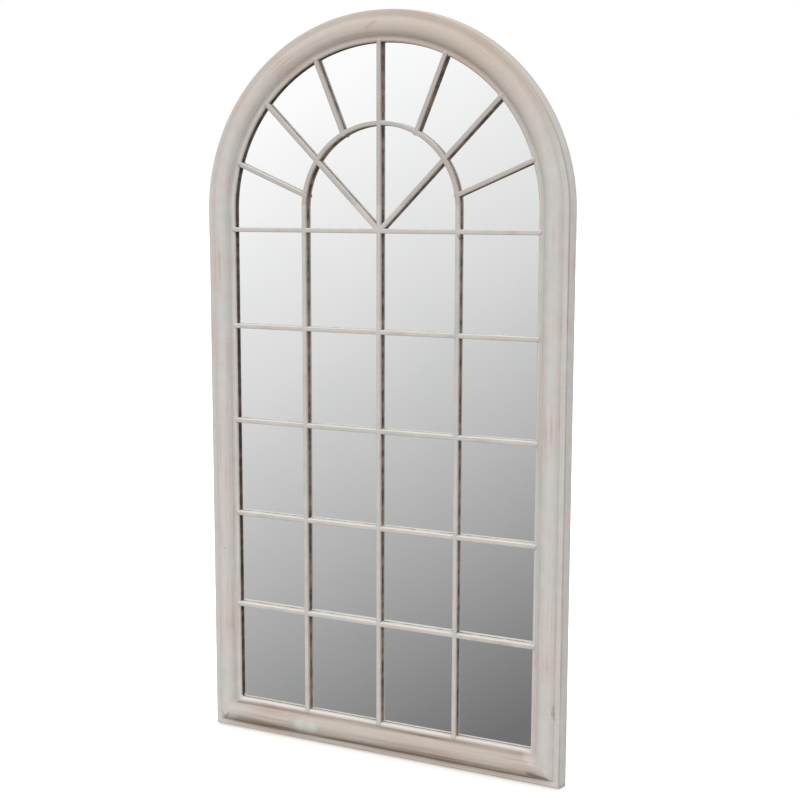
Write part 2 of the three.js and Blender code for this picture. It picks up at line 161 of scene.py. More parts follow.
def makeRoom(s):
    world = bpy.data.worlds.new("room")
    world.use_nodes = True
    tree = world.node_tree
    tree.nodes.clear()
    way = addNode(tree, "ShaderNodeTexCoord")
    parts = addNode(tree, "ShaderNodeSeparateXYZ", {0: way.outputs["Generated"]})
    tilt = addNode(tree, "ShaderNodeMath", {0: parts.outputs["X"], 1: s["roomTilt"]}, operation="MULTIPLY")
    fall = addNode(tree, "ShaderNodeMath", {0: tilt.outputs[0], 1: parts.outputs["Z"]}, operation="SUBTRACT")
    low, high = s["roomRamp"][0][0], s["roomRamp"][-1][0]
    share = addNode(tree, "ShaderNodeMapRange", {"Value": fall.outputs[0], "From Min": low, "From Max": high})
    tones = addNode(tree, "ShaderNodeValToRGB", {"Fac": share.outputs[0]},
                    stops=[((p - low) / (high - low), colour) for p, colour in s["roomRamp"]])
    ray = addNode(tree, "ShaderNodeLightPath")
    seen = addNode(tree, "ShaderNodeBackground",
                   {"Color": tones.outputs["Color"], "Strength": 1 / s["mirrorLoss"]})
    height = addNode(tree, "ShaderNodeMapRange",
                     {"Value": parts.outputs["Z"], "From Min": -0.6, "From Max": 0.7,
                                                  "To Min": s["fill"][0], "To Max": s["fill"][1]})
    fill = addNode(tree, "ShaderNodeBackground",
                   {"Color": hexColour("#FFFFFF"), "Strength": height.outputs[0]})
    plain = addNode(tree, "ShaderNodeBackground", {"Color": hexColour("#FFFFFF"), "Strength": 1.0})
    soft = addNode(tree, "ShaderNodeMixShader",
                   {0: ray.outputs["Is Glossy Ray"], 1: fill.outputs[0], 2: seen.outputs[0]})
    every = addNode(tree, "ShaderNodeMixShader",
                    {0: ray.outputs["Is Camera Ray"], 1: soft.outputs[0], 2: plain.outputs[0]})
    addNode(tree, "ShaderNodeOutputWorld", {"Surface": every.outputs[0]})
    scene.world = world


def makeLights(s):
    for spec in s["suns"]:
        lamp = bpy.data.lights.new(spec["name"], "SUN")
        lamp.angle = math.radians(spec["soft"])
        lamp.energy = spec["strength"]
        light = linkObject(spec["name"], lamp)
        azimuth, elevation = math.radians(spec["azimuth"]), math.radians(spec["elevation"])
        source = Vector((math.sin(azimuth) * math.cos(elevation), -math.cos(azimuth) * math.cos(elevation),
                         math.sin(elevation)))
        aim = source.to_track_quat("Z", "Y").to_matrix().to_4x4()
        light.matrix_world = Matrix.Translation(source * 4) @ aim
        light.visible_glossy = False


makeFloor(studio)
makeRoom(studio)
makeLights(studio)
print("studio made")


# Moulding: sheet steel formed over a torus and a bead, in five lengths
moulding = {
    "width": 600.0, "height": 1160.0, "depth": 30.0,
    "stileFace": 50.0, "railFace": 55.0, "sheet": 1.2, "flange": 12.0,
    "arrisAt": 6.5, "arrisRadius": 3.0, "shoulder": 22.0,
    "crease": 13.0, "creaseHeight": 21.0, "torusRise": 9.0, "torusEnd": 41.0,
    "beadRadius": 3.4, "beadDrop": 5.0, "ledgeHeight": 11.3, "ledge": 16.0,
    "archSteps": 90, "straightStep": 12.0, "arrisSteps": 7, "torusSteps": 30, "beadSteps": 12,
    "arrisFrom": 172, "torusFrom": 82.6, "beadFrom": 120,  # degrees at which each round starts
    "creaseRun": ((-3.5, 0.6), (-1.7, 0.3), (-1, 0.22), (-0.4, 0.35)),  # from the crease's middle and height
    "filletRun": ((-0.4, 0.35), (0.1, 0.65), (0.52, 1.08)),
    "grooveRun": ((0, 0), (0.35, 0.75), (0.8, 1.5), (1.3, 2.05), (1.85, 2.4), (2.4, 2.57), (2.95, 2.55),
                  (3.45, 2.35)),
    "wallFalls": (0, 1.6, 3.2),  # down the inner wall from the bead's middle
    # extra stations beside the mitres, on the rail and up the stiles
    "mitreSteps": (0.012, 0.988), "mitreRise": 7.0,
    "railPaint": 3000.0,  # where the rail lies along the paint's map, clear of the other lengths
}


def arc(centreX, centreY, radius, startAngle, endAngle, steps):
    points = []
    for i in range(steps + 1):
        angle = math.radians(startAngle + (endAngle - startAngle) * i / max(steps, 1))
        points.append((centreX + radius * math.cos(angle), centreY + radius * math.sin(angle)))
    return points


def mouldingSkin(m):
    # (inset, forwards, band) along the outer skin. A band is a whole number wide on each named part:
    # 0 flange, 1 side, 2 arris, 3 shoulder, 4 torus, 5 groove, 6 bead, 7 inner wall, 8 glass ledge
    face = m["stileFace"]
    half = (m["torusEnd"] - m["crease"]) / 2
    radius = (half ** 2 + m["torusRise"] ** 2) / (2 * m["torusRise"])
    spread = math.degrees(math.asin(half / radius))
    low = m["creaseHeight"]
    beadX, beadY = face - m["beadRadius"], m["creaseHeight"] - m["beadDrop"]
    arris = (m["arrisAt"], m["shoulder"] - m["arrisRadius"], m["arrisRadius"], m["arrisFrom"])
    bead = (beadX, beadY, m["beadRadius"], m["beadFrom"])
    runs = [
        [(m["flange"], 0), (0, 0)],
        [(0, 0)] + arc(*arris, m["arrisFrom"], 0),
        arc(*arris, 90, m["arrisSteps"]),
        [(m["arrisAt"], m["shoulder"])] + [(m["crease"] + x, low + y) for x, y in m["creaseRun"]],
        [(m["crease"] + x, low + y) for x, y in m["filletRun"]]
        + arc(m["crease"] + half, m["depth"] - radius, radius, m["torusFrom"] + spread, 90 - spread,
              m["torusSteps"]),
        [(m["torusEnd"] + x, low - y) for x, y in m["grooveRun"]] + arc(*bead, m["beadFrom"], 0),
        arc(*bead, 0, m["beadSteps"]),
        [(face, beadY - fall) for fall in m["wallFalls"]] + [(face, m["ledgeHeight"])],
        [(face, m["ledgeHeight"]), (face - m["ledge"], m["ledgeHeight"])],
    ]
    skin = []
    for band, run in enumerate(runs):
        length = [0.0]
        for a, b in zip(run, run[1:]):
            length.append(length[-1] + math.dist(a, b))
        for i, (point, far) in enumerate(zip(run, length)):
            if i == 0 and skin:
                continue  # shared with the run before
            skin.append((point[0], point[1], band + far / length[-1]))
    return skin


def mouldingSection(m):
    # closed outline: the skin, then back along the inside of the sheet, whose band is 10 and more
    skin = mouldingSkin(m)
    inside = []
    for i, (x, y, band) in enumerate(skin):
        before, after = skin[max(i - 1, 0)], skin[min(i + 1, len(skin) - 1)]
        here = (x, y)
        first = (here, after[:2]) if i == 0 else (before[:2], here)
        second = first if i == len(skin) - 1 else (here, after[:2])
        normals = []
        for a, b in (first, second):
            run = math.dist(a, b)
            normals.append(((b[1] - a[1]) / run, -(b[0] - a[0]) / run))
        bisector = (normals[0][0] + normals[1][0], normals[0][1] + normals[1][1])
        size = math.hypot(*bisector)
        bisector = (bisector[0] / size, bisector[1] / size)
        reach = m["sheet"] / max(bisector[0] * normals[0][0] + bisector[1] * normals[0][1], 0.5)
        inside.append((x + bisector[0] * reach, y + bisector[1] * reach, 10 + band))
    return skin + inside[::-1]


def sectionNormals(section):
    # outward normal of each edge of the closed outline, and of each point as (before, after), one pair where
    # it is smooth
    count = len(section)
    edges = []
    for i in range(count):
        (x0, y0, _), (x1, y1, _) = section[i], section[(i + 1) % count]
        run = max(math.hypot(x1 - x0, y1 - y0), 1e-9)
        edges.append((-(y1 - y0) / run, (x1 - x0) / run))
    pairs = []
    for i in range(count):
        before, after = edges[i - 1], edges[i]
        if before[0] * after[0] + before[1] * after[1] > math.cos(math.radians(24)):
            size = math.hypot(before[0] + after[0], before[1] + after[1])
            both = ((before[0] + after[0]) / size, (before[1] + after[1]) / size)
            before = after = both
        pairs.append((before, after))
    return pairs


def loftLength(name, section, stations, sheet):
    # a station is (point where the inset is 0, direction and scale of the inset, distance along the frame,
    # the directions that the normals' inset part takes, more than one where lengths blend at a mitre), all in
    # mm
    count = len(section)
    across = [0.0]
    for a, b in zip(section, section[1:]):
        across.append(across[-1] + math.dist(a[:2], b[:2]))
    pairs = sectionNormals(section)
    mesh = bpy.data.meshes.new(name)
    build = bmesh.new()
    band = build.verts.layers.float.new("band")
    paint = build.loops.layers.uv.new("paint")
    rings = []
    for (x, z), (dx, dz), along, leans in stations:
        ring = []
        for inset, forwards, zone in section:
            vert = build.verts.new(((x + dx * inset) * mm, (wallY - forwards) * mm, (z + dz * inset) * mm))
            vert[band] = zone
            ring.append(vert)
        rings.append(ring)

    def normalAt(row, pair):
        total = Vector((0, 0, 0))
        for leanX, leanZ in stations[row][3]:
            total += Vector((leanX * pair[0], -pair[1], leanZ * pair[0]))
        return total.normalized()

    # which way round the faces go, so that they look outwards
    (x0, z0), (x1, z1) = stations[0][0], stations[-1][0]
    lean = stations[0][3][0]
    flip = ((x1 - x0) * lean[1] - (z1 - z0) * lean[0]) > 0
    normals = []
    for step in range(len(rings) - 1):
        for i in range(count):
            j = (i + 1) % count
            corners = [(step, i, i), (step, j, j), (step + 1, j, j), (step + 1, i, i)]
            if flip:
                corners.reverse()
            face = build.faces.new([rings[row][column] for row, column, _ in corners])
            face.smooth = True
            for loop, (row, column, _) in zip(face.loops, corners):
                distance = across[column] if (column or i < count - 1) else across[-1] + sheet
                loop[paint].uv = (stations[row][2] * mm, distance * mm)
                normals.append(normalAt(row, pairs[column][1] if column == i else pairs[column][0]))
    skinCount = count // 2
    # the sheet's cut end, a strip between its two skins
    for ring, wayRound in ((rings[0], flip), (rings[-1], not flip)):
        for i in range(skinCount - 1):
            quad = [ring[i], ring[count - 1 - i], ring[count - 2 - i], ring[i + 1]]
            if wayRound:
                quad.reverse()
            face = build.faces.new(quad)
            face.normal_update()
            normals += [face.normal.copy()] * 4
    build.to_mesh(mesh)
    build.free()
    mesh.normals_split_custom_set([tuple(n) for n in normals])
    return linkObject(name, mesh)


def mouldingLengths(m):
    section = mouldingSection(m)
    half, centre = m["width"] / 2, m["height"] - m["width"] / 2
    lean = m["railFace"] / m["stileFace"]

    def spaced(start, end, step):
        count = max(2, round(abs(end - start) / step))
        return [start + (end - start) * i / count for i in range(count + 1)]

    wide = [(x * lean, y, zone) for x, y, zone in section]
    lengths = []
    rail = []
    first, last = m["mitreSteps"]
    for share in [0.0, first] + [i / 50 for i in range(1, 50)] + [last, 1.0]:
        side = -1 + 2 * share  # the inset direction turns from one mitre to the other
        word = -1 if share < 0.5 else 1
        leans = [(0.0, 1.0), (-word, 0.0)] if share in (0.0, 1.0) else [(0.0, 1.0)]
        rail.append(((side * half, 0.0), (-side / lean, 1.0), m["railPaint"] + side * half, leans))
    lengths.append(("bottom_rail", wide, rail))
    for side, word in ((-1, "left"), (1, "right")):
        # the inset of a stile station leans at the mitre and straightens along the stile
        stile = []
        for z in [0.0, m["mitreRise"]] + spaced(2 * m["mitreRise"], centre, m["straightStep"]):
            tilt = lean * (1 - z / centre)
            leans = [(-side, 0.0), (0.0, 1.0)] if z == 0.0 else [(-side, 0.0)]
            stile.append(((side * half, z), (-side, tilt), side * (math.pi / 2 * half + centre - z), leans))
        lengths.append((f"{word}_stile", section, stile))
        bend = []
        for i in range(m["archSteps"] + 1):
            angle = math.pi / 2 * i / m["archSteps"]
            out = (side * math.cos(angle), math.sin(angle))
            bend.append(((half * out[0], centre + half * out[1]), (-out[0], -out[1]),
                         side * (math.pi / 2 - angle) * half, [(-out[0], -out[1])]))
        lengths.append((f"{word}_arch", section, bend))
    return lengths


def makeMoulding(m, material):
    for name, section, stations in mouldingLengths(m):
        piece = loftLength(f"{name}_moulding", section, stations, m["sheet"])
        piece.data.materials.append(material)
        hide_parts(name)
        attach(piece, "root")


whitewash = {
    "tones": ((0.34, "#C1C3BB"), (0.43, "#CBCAC6"), (0.50, "#CCC8C3"), (0.57, "#CFC3BE"), (0.68, "#C0B4A8")),
    "barTones": ((0.34, "#BCBEB9"), (0.45, "#C5C2BE"), (0.55, "#C9C1BC"), (0.66, "#BFB4AB")),
    "browns": ((0.30, "#40362F"), (0.46, "#594B42"), (0.58, "#74645A"), (0.75, "#8D7D6F")),
    "barBrowns": ((0.32, "#4C423C"), (0.43, "#6C5E57"), (0.51, "#86766A"), (0.59, "#A2866F"),
                  (0.70, "#948A80")),
    "tanTintAndShade": "#BFAB99", "fanGrey": "#ADA6A2",
    "paintedTopLight": "#F1EEE9",  # painted highlight: light from above painted in as a whiter tone on whatever faces up
    "thinBrownAndShade": "#8C7C6E",  # brown thinned by the whitewash over it, and painted shade, in the groove and the crease
    # blemishes, and along the rail's crease two strokes that are partly painted shade: two ends (x, z), width
    # in mm, colour, strength
    "frameMarks": (
        ((-280.0, 16.0), (-268.2, 28.5), 1.3, "#4B423C", 0.85),
        ((-282.7, 28.7), (-271.2, 20.1), 1.2, "#554B44", 0.75),
        ((-15.4, 1129.7), (-0.8, 1138.9), 4.5, "#8F837A", 0.28),
        ((-247.6, 885.0), (-248.2, 826.0), 4.5, "#A38F80", 0.55),
        ((285.3, 133.0), (286.6, 119.0), 3.6, "#857F76", 0.4),
        ((284.0, 122.0), (287.6, 110.6), 2.6, "#857F76", 0.35),
        ((-285.0, 316.9), (-283.1, 315.5), 1.6, "#8C7C6E", 0.7),
        ((-271.8, 312.5), (-269.0, 311.1), 1.6, "#8C7C6E", 0.6),
        ((250.0, 23.0), (277.0, 17.0), 6.5, "#5F564F", 0.8),
        ((246.2, 48.3), (252.4, 44.7), 13.0, "#D6D3CE", 0.6),
        ((-135.6, 32.5), (-113.8, 31.3), 17.0, "#CBCFC7", 0.6),
        # the next two strokes darken the rail just above its crease: partly brown, partly painted shade where
        # the torus turns down
        ((-248.0, 24.0), (-158.0, 19.5), 8.0, "#7C7165", 0.55),
        ((-83.0, 17.5), (73.0, 17.0), 7.0, "#756A5F", 0.4),
        ((262.0, 420.0), (263.0, 455.0), 5.0, "#D3CBC7", 0.4),
        ((276.0, 610.0), (275.0, 660.0), 4.0, "#C6CBC1", 0.4),
        ((-262.0, 600.0), (-262.0, 650.0), 4.0, "#C2B3AC", 0.4),
        ((-268.0, 905.0), (-262.0, 940.0), 6.0, "#CDBFBB", 0.4),
    ),
    "barMarks": (((127.3, 827.3), (130.2, 820.8), 1.1, "#3E3835", 0.85),
                 ((130.2, 820.8), (132.8, 827.4), 1.1, "#3E3835", 0.85)),
    "cloud": 75.0, "patch": 19.0, "grain": 1.5, "streakLong": 150.0, "streakWide": 4.5,  # mm
    "barCloud": 38, "tear": 15,
    # metres, along the paint's map and up from the floor
    "railFrom": 2.5, "fanMiddle": 0.86, "fanFrom": 0.87,
}


def paintTones(tree, spot, streak, tones, s):
    # the whitewash by itself: its colour, and the patch and grain noises that the rest is broken up with
    cloud = addNode(tree, "ShaderNodeTexNoise",
                    {"Vector": spot, "Scale": perMetre(s["cloud"]), "Detail": 2.0, "Roughness": 0.5})
    patch = addNode(tree, "ShaderNodeTexNoise",
                    {"Vector": spot, "Scale": perMetre(s["patch"]), "Detail": 4.0, "Roughness": 0.6})
    grain = addNode(tree, "ShaderNodeTexNoise",
                    {"Vector": spot, "Scale": perMetre(s["grain"]), "Detail": 3.0, "Roughness": 0.6})
    both = addNode(tree, "ShaderNodeMath", {0: cloud.outputs["Fac"], 1: streak}, operation="ADD")
    mean = addNode(tree, "ShaderNodeMath", {0: both.outputs[0], 1: 0.5}, operation="MULTIPLY")
    tint = addNode(tree, "ShaderNodeValToRGB", {"Fac": mean.outputs[0]}, stops=tones)
    dapple = addNode(tree, "ShaderNodeMapRange",
                     {"Value": patch.outputs["Fac"], "From Min": 0.3, "From Max": 0.7, "To Min": 0.95,
                      "To Max": 1.04})
    fleck = addNode(tree, "ShaderNodeMapRange",
                    {"Value": grain.outputs["Fac"], "From Min": 0.3, "From Max": 0.7, "To Min": 0.97,
                     "To Max": 1.025})
    light = addNode(tree, "ShaderNodeMath", {0: dapple.outputs[0], 1: fleck.outputs[0]}, operation="MULTIPLY")
    colour = addNode(tree, "ShaderNodeVectorMath", {0: tint.outputs["Color"], "Scale": light.outputs[0]},
                     operation="SCALE")
    return colour.outputs["Vector"], patch.outputs["Fac"], grain.outputs["Fac"]


def paintFinish(tree, colour, brown, patch, grain, bumpHeight):
    # roughness follows the wear: the brown base is a little glossier than the chalky wash
    rough = addNode(tree, "ShaderNodeMapRange",
                    {"Value": patch, "From Min": 0.3, "From Max": 0.7, "To Min": 0.58, "To Max": 0.7})
    worn = addNode(tree, "ShaderNodeMath", {0: brown, 1: -0.12, 2: rough.outputs[0]},
                   operation="MULTIPLY_ADD")
    height = addNode(tree, "ShaderNodeMath", {0: grain, 1: 0.5, 2: bumpHeight}, operation="MULTIPLY_ADD")
    bump = addNode(tree, "ShaderNodeBump",
                   {"Height": height.outputs[0], "Distance": 0.0003, "Strength": 0.35})
    skin = addNode(tree, "ShaderNodeBsdfPrincipled",
                   {"Base Color": colour, "Roughness": worn.outputs[0], "Normal": bump.outputs[0]})
    skin.inputs["Specular IOR Level"].default_value = 0.3
    addNode(tree, "ShaderNodeOutputMaterial", {"Surface": skin.outputs["BSDF"]})


def paintMarks(tree, spot, patch, colour, marks):
    # each blemish is a soft stroke between two points, broken up by the patch noise
    flat = addNode(tree, "ShaderNodeVectorMath", {0: spot, 1: (1.0, 0.0, 1.0)}, operation="MULTIPLY")
    broken = addNode(tree, "ShaderNodeMapRange",
                     {"Value": patch, "From Min": 0.36, "From Max": 0.56, "To Min": 0.55, "To Max": 1.0})
    for (x0, z0), (x1, z1), width, tone, strength in marks:
        reach = ((x1 - x0) * mm, 0.0, (z1 - z0) * mm)
        away = addNode(tree, "ShaderNodeVectorMath", {0: flat.outputs[0], 1: (x0 * mm, 0.0, z0 * mm)},
                       operation="SUBTRACT")
        along = addNode(tree, "ShaderNodeVectorMath",
                        {0: away.outputs[0], 1: tuple(v / (reach[0] ** 2 + reach[2] ** 2) for v in reach)},
                        operation="DOT_PRODUCT")
        held = addNode(tree, "ShaderNodeClamp", {"Value": along.outputs["Value"]})
        nearest = addNode(tree, "ShaderNodeVectorMath", {0: reach, "Scale": held.outputs[0]},
                          operation="SCALE")
        gap = addNode(tree, "ShaderNodeVectorMath", {0: away.outputs[0], 1: nearest.outputs[0]},
                      operation="DISTANCE")
        share = addNode(tree, "ShaderNodeMapRange",
                        {"Value": gap.outputs["Value"], "From Min": 0.15 * width * mm,
                         "From Max": 0.9 * width * mm,
                                                     "To Min": strength, "To Max": 0.0},
                                                     interpolation_type="SMOOTHSTEP")
        stroke = addNode(tree, "ShaderNodeMath", {0: share.outputs[0], 1: broken.outputs[0]},
                         operation="MULTIPLY")
        colour = addNode(tree, "ShaderNodeMix", {0: stroke.outputs[0], 6: colour, 7: hexColour(tone)},
                         data_type="RGBA").outputs[2]
    return colour


def framePaintMaterial(s):
    # Whitewash wiped over a brown base coat on formed steel: matt and cloudy, drawn out along each length,
    # brown in the groove and the crease, along worn arrises, and where the brush never reached; painted shade
    # is added in the groove, the crease and over the tops of the arches, and a painted highlight on the
    # bead's top
    material, tree = newMaterial("whitewash over brown on formed steel")
    place = addNode(tree, "ShaderNodeTexCoord")
    spot = place.outputs["Object"]
    along = addNode(tree, "ShaderNodeUVMap", uv_map="paint")
    drawn = addNode(tree, "ShaderNodeMapping",
                    {"Vector": along.outputs[0],
                     "Scale": (perMetre(s["streakLong"]), perMetre(s["streakWide"]), 1.0)})
    streak = addNode(tree, "ShaderNodeTexNoise",
                     {"Vector": drawn.outputs[0], "Scale": 1.0, "Detail": 3.0, "Roughness": 0.55})
    white, patch, grain = paintTones(tree, spot, streak.outputs["Fac"], s["tones"], s)
    zone = addNode(tree, "ShaderNodeAttribute", attribute_name="band")
    scaled = addNode(tree, "ShaderNodeMath", {0: zone.outputs["Fac"], 1: 0.1}, operation="MULTIPLY")
    parts = addNode(tree, "ShaderNodeSeparateXYZ", {0: along.outputs[0]})
    xyz = addNode(tree, "ShaderNodeSeparateXYZ", {0: spot})
    facing = addNode(tree, "ShaderNodeNewGeometry")
    slope = addNode(tree, "ShaderNodeSeparateXYZ", {0: facing.outputs["Normal"]})
    onRail = addNode(tree, "ShaderNodeMath", {0: parts.outputs["X"], 1: s["railFrom"]},
                     operation="GREATER_THAN")
    onRight = addNode(tree, "ShaderNodeMapRange",
                      {"Value": xyz.outputs["X"], "From Min": -0.05, "From Max": 0.15})
    # a broken edge for every mask: patches drawn out along the length
    ragged = addNode(tree, "ShaderNodeMapRange",
                     {"Value": streak.outputs["Fac"], "From Min": 0.32, "From Max": 0.68, "To Min": 0.45,
                      "To Max": 1.45})
    # crease between shoulder and torus: a thin brown line, and on the rail a broad dark band above it, part
    # brown base coat and part painted shade where the torus turns down
    line = addNode(tree, "ShaderNodeValToRGB", {"Fac": scaled.outputs[0]},
                   stops=((0.385, 0.0), (0.396, 1.0), (0.402, 0.9), (0.408, 0.35), (0.42, 0.12), (0.44, 0.0)))
    lineShare = addNode(tree, "ShaderNodeMapRange",
                        {"Value": onRight.outputs[0], "To Min": 0.1, "To Max": 0.16})
    lineMask = addNode(tree, "ShaderNodeMath", {0: line.outputs["Color"], 1: lineShare.outputs[0]},
                       operation="MULTIPLY")
    wide = addNode(tree, "ShaderNodeValToRGB", {"Fac": scaled.outputs[0]},
                   stops=((0.24, 0.0), (0.29, 0.32), (0.37, 0.42), (0.392, 0.85), (0.400, 0.98), (0.41, 0.95),
                          (0.422, 0.82), (0.437, 0.55), (0.453, 0.33), (0.472, 0.18), (0.50, 0.08),
                          (0.53, 0.0)))
    sideways = addNode(tree, "ShaderNodeMath", {0: xyz.outputs["X"]}, operation="ABSOLUTE")
    beforeMitre = addNode(tree, "ShaderNodeMapRange",
                          {"Value": sideways.outputs[0], "From Min": 0.258, "From Max": 0.286, "To Min": 1.0,
                           "To Max": 0.2})
    railEnds = addNode(tree, "ShaderNodeMath", {0: onRail.outputs[0], 1: beforeMitre.outputs[0]},
                       operation="MULTIPLY")
    wideMask = addNode(tree, "ShaderNodeMath", {0: wide.outputs["Color"], 1: railEnds.outputs[0]},
                       operation="MULTIPLY")
    crease = addNode(tree, "ShaderNodeMath", {0: lineMask.outputs[0], 1: wideMask.outputs[0]},
                     operation="MAXIMUM")
    # groove beside the bead: brown base coat showing through, and painted shade in the hollow
    groove = addNode(tree, "ShaderNodeValToRGB", {"Fac": scaled.outputs[0]},
                     stops=((0.475, 0.0), (0.495, 0.12), (0.52, 0.5), (0.55, 0.75), (0.59, 0.5), (0.61, 0.12),
                            (0.625, 0.0)))
    quiet = addNode(tree, "ShaderNodeMapRange", {"Value": onRight.outputs[0], "To Min": 0.14, "To Max": 0.04})
    grooveShare = addNode(tree, "ShaderNodeMath", {0: quiet.outputs[0], 1: onRail.outputs[0]},
                          operation="MAXIMUM")
    grooveMask = addNode(tree, "ShaderNodeMath", {0: groove.outputs["Color"], 1: grooveShare.outputs[0]},
                         operation="MULTIPLY")
    # arris wear, mostly down the right
    edge = addNode(tree, "ShaderNodeValToRGB", {"Fac": scaled.outputs[0]},
                   stops=((0.195, 0.05), (0.225, 0.5), (0.25, 0.7), (0.275, 0.3), (0.30, 0.05), (0.34, 0.1),
                          (0.39, 0.05)))
    edgeShare = addNode(tree, "ShaderNodeMapRange",
                        {"Value": onRight.outputs[0], "To Min": 0.25, "To Max": 0.8})
    edgeMask = addNode(tree, "ShaderNodeMath", {0: edge.outputs["Color"], 1: edgeShare.outputs[0]},
                       operation="MULTIPLY")
    hollows = addNode(tree, "ShaderNodeMath", {0: crease.outputs[0], 1: grooveMask.outputs[0]},
                      operation="MAXIMUM")
    marks = addNode(tree, "ShaderNodeMath", {0: hollows.outputs[0], 1: edgeMask.outputs[0]},
                    operation="MAXIMUM")
    # crease, groove and arris together: brown base coat and wear, with painted shade in the crease and the
    # groove
    washAndShadeMask = addNode(tree, "ShaderNodeMath", {0: marks.outputs[0], 1: ragged.outputs[0]},
                     operation="MULTIPLY", use_clamp=True)
    # the inner wall: bare brown behind its front edge, less of it where the wall faces up
    upward = addNode(tree, "ShaderNodeMapRange",
                     {"Value": slope.outputs["Z"], "From Min": 0.2, "From Max": 0.8, "To Min": 7.0,
                      "To Max": 7.86})
    waver = addNode(tree, "ShaderNodeMath", {0: patch, 1: 0.35, 2: upward.outputs[0]},
                    operation="MULTIPLY_ADD")
    past = addNode(tree, "ShaderNodeMath", {0: zone.outputs["Fac"], 1: waver.outputs[0]},
                   operation="SUBTRACT")
    bare = addNode(tree, "ShaderNodeMapRange",
                   {"Value": past.outputs[0], "From Min": -0.17, "From Max": -0.05})
    behind = addNode(tree, "ShaderNodeMapRange",
                     {"Value": zone.outputs["Fac"], "From Min": 1.12, "From Max": 0.9, "To Min": 0.0,
                      "To Max": 0.9})
    unpainted = addNode(tree, "ShaderNodeMath", {0: bare.outputs[0], 1: behind.outputs[0]},
                        operation="MAXIMUM")
    brown = addNode(tree, "ShaderNodeValToRGB", {"Fac": patch}, stops=s["browns"])
    toMitre = addNode(tree, "ShaderNodeMapRange",
                      {"Value": sideways.outputs[0], "From Min": 0.2, "From Max": 0.262, "To Min": 0.36,
                       "To Max": 0.0})
    railWarm = addNode(tree, "ShaderNodeMath", {0: onRail.outputs[0], 1: toMitre.outputs[0]},
                       operation="MULTIPLY")
    # over the tops of the arches a tan tint that is also painted shade: darker towards the crown and the
    # right, away from the light
    rightwards = addNode(tree, "ShaderNodeMapRange",
                         {"Value": xyz.outputs["X"], "From Min": -0.18, "From Max": 0.08, "To Min": 0.2,
                          "To Max": 0.55})
    upwards = addNode(tree, "ShaderNodeMapRange",
                      {"Value": xyz.outputs["Z"], "From Min": 0.93, "From Max": 1.08})
    archTintAndShade = addNode(tree, "ShaderNodeMath", {0: rightwards.outputs[0], 1: upwards.outputs[0]},
                       operation="MULTIPLY")
    tintAndShade = addNode(tree, "ShaderNodeMath", {0: railWarm.outputs[0], 1: archTintAndShade.outputs[0]},
                   operation="MAXIMUM")
    tintedAndShaded = addNode(tree, "ShaderNodeMix", {0: tintAndShade.outputs[0], 6: white, 7: hexColour(s["tanTintAndShade"])},
                     data_type="RGBA")
    # painted highlight: the upward-facing part of the bead is whitened in place of light from above
    onBead = addNode(tree, "ShaderNodeValToRGB", {"Fac": scaled.outputs[0]},
                     stops=((0.605, 0.0), (0.63, 1.0), (0.76, 1.0), (0.785, 0.0)))
    raised = addNode(tree, "ShaderNodeMapRange",
                     {"Value": slope.outputs["Z"], "From Min": 0.25, "From Max": 0.8, "To Max": 0.8})
    topLightShare = addNode(tree, "ShaderNodeMath", {0: onBead.outputs["Color"], 1: raised.outputs[0]},
                    operation="MULTIPLY")
    paintedTopLight = addNode(tree, "ShaderNodeMix",
                     {0: topLightShare.outputs[0], 6: tintedAndShaded.outputs[2], 7: hexColour(s["paintedTopLight"])}, data_type="RGBA")
    thin = addNode(tree, "ShaderNodeMix",
                   {0: washAndShadeMask.outputs[0], 6: paintedTopLight.outputs[2], 7: hexColour(s["thinBrownAndShade"])}, data_type="RGBA")
    deep = addNode(tree, "ShaderNodeMapRange",
                   {"Value": washAndShadeMask.outputs[0], "From Min": 0.75, "From Max": 1.3, "To Max": 0.8})
    darker = addNode(tree, "ShaderNodeMix",
                     {0: deep.outputs[0], 6: thin.outputs[2], 7: brown.outputs["Color"]}, data_type="RGBA")
    marked = paintMarks(tree, spot, patch, darker.outputs[2], s["frameMarks"])
    colour = addNode(tree, "ShaderNodeMix", {0: unpainted.outputs[0], 6: marked, 7: brown.outputs["Color"]},
                     data_type="RGBA")
    paintFinish(tree, colour.outputs[2], unpainted.outputs[0], patch, grain, streak.outputs["Fac"])
    return material


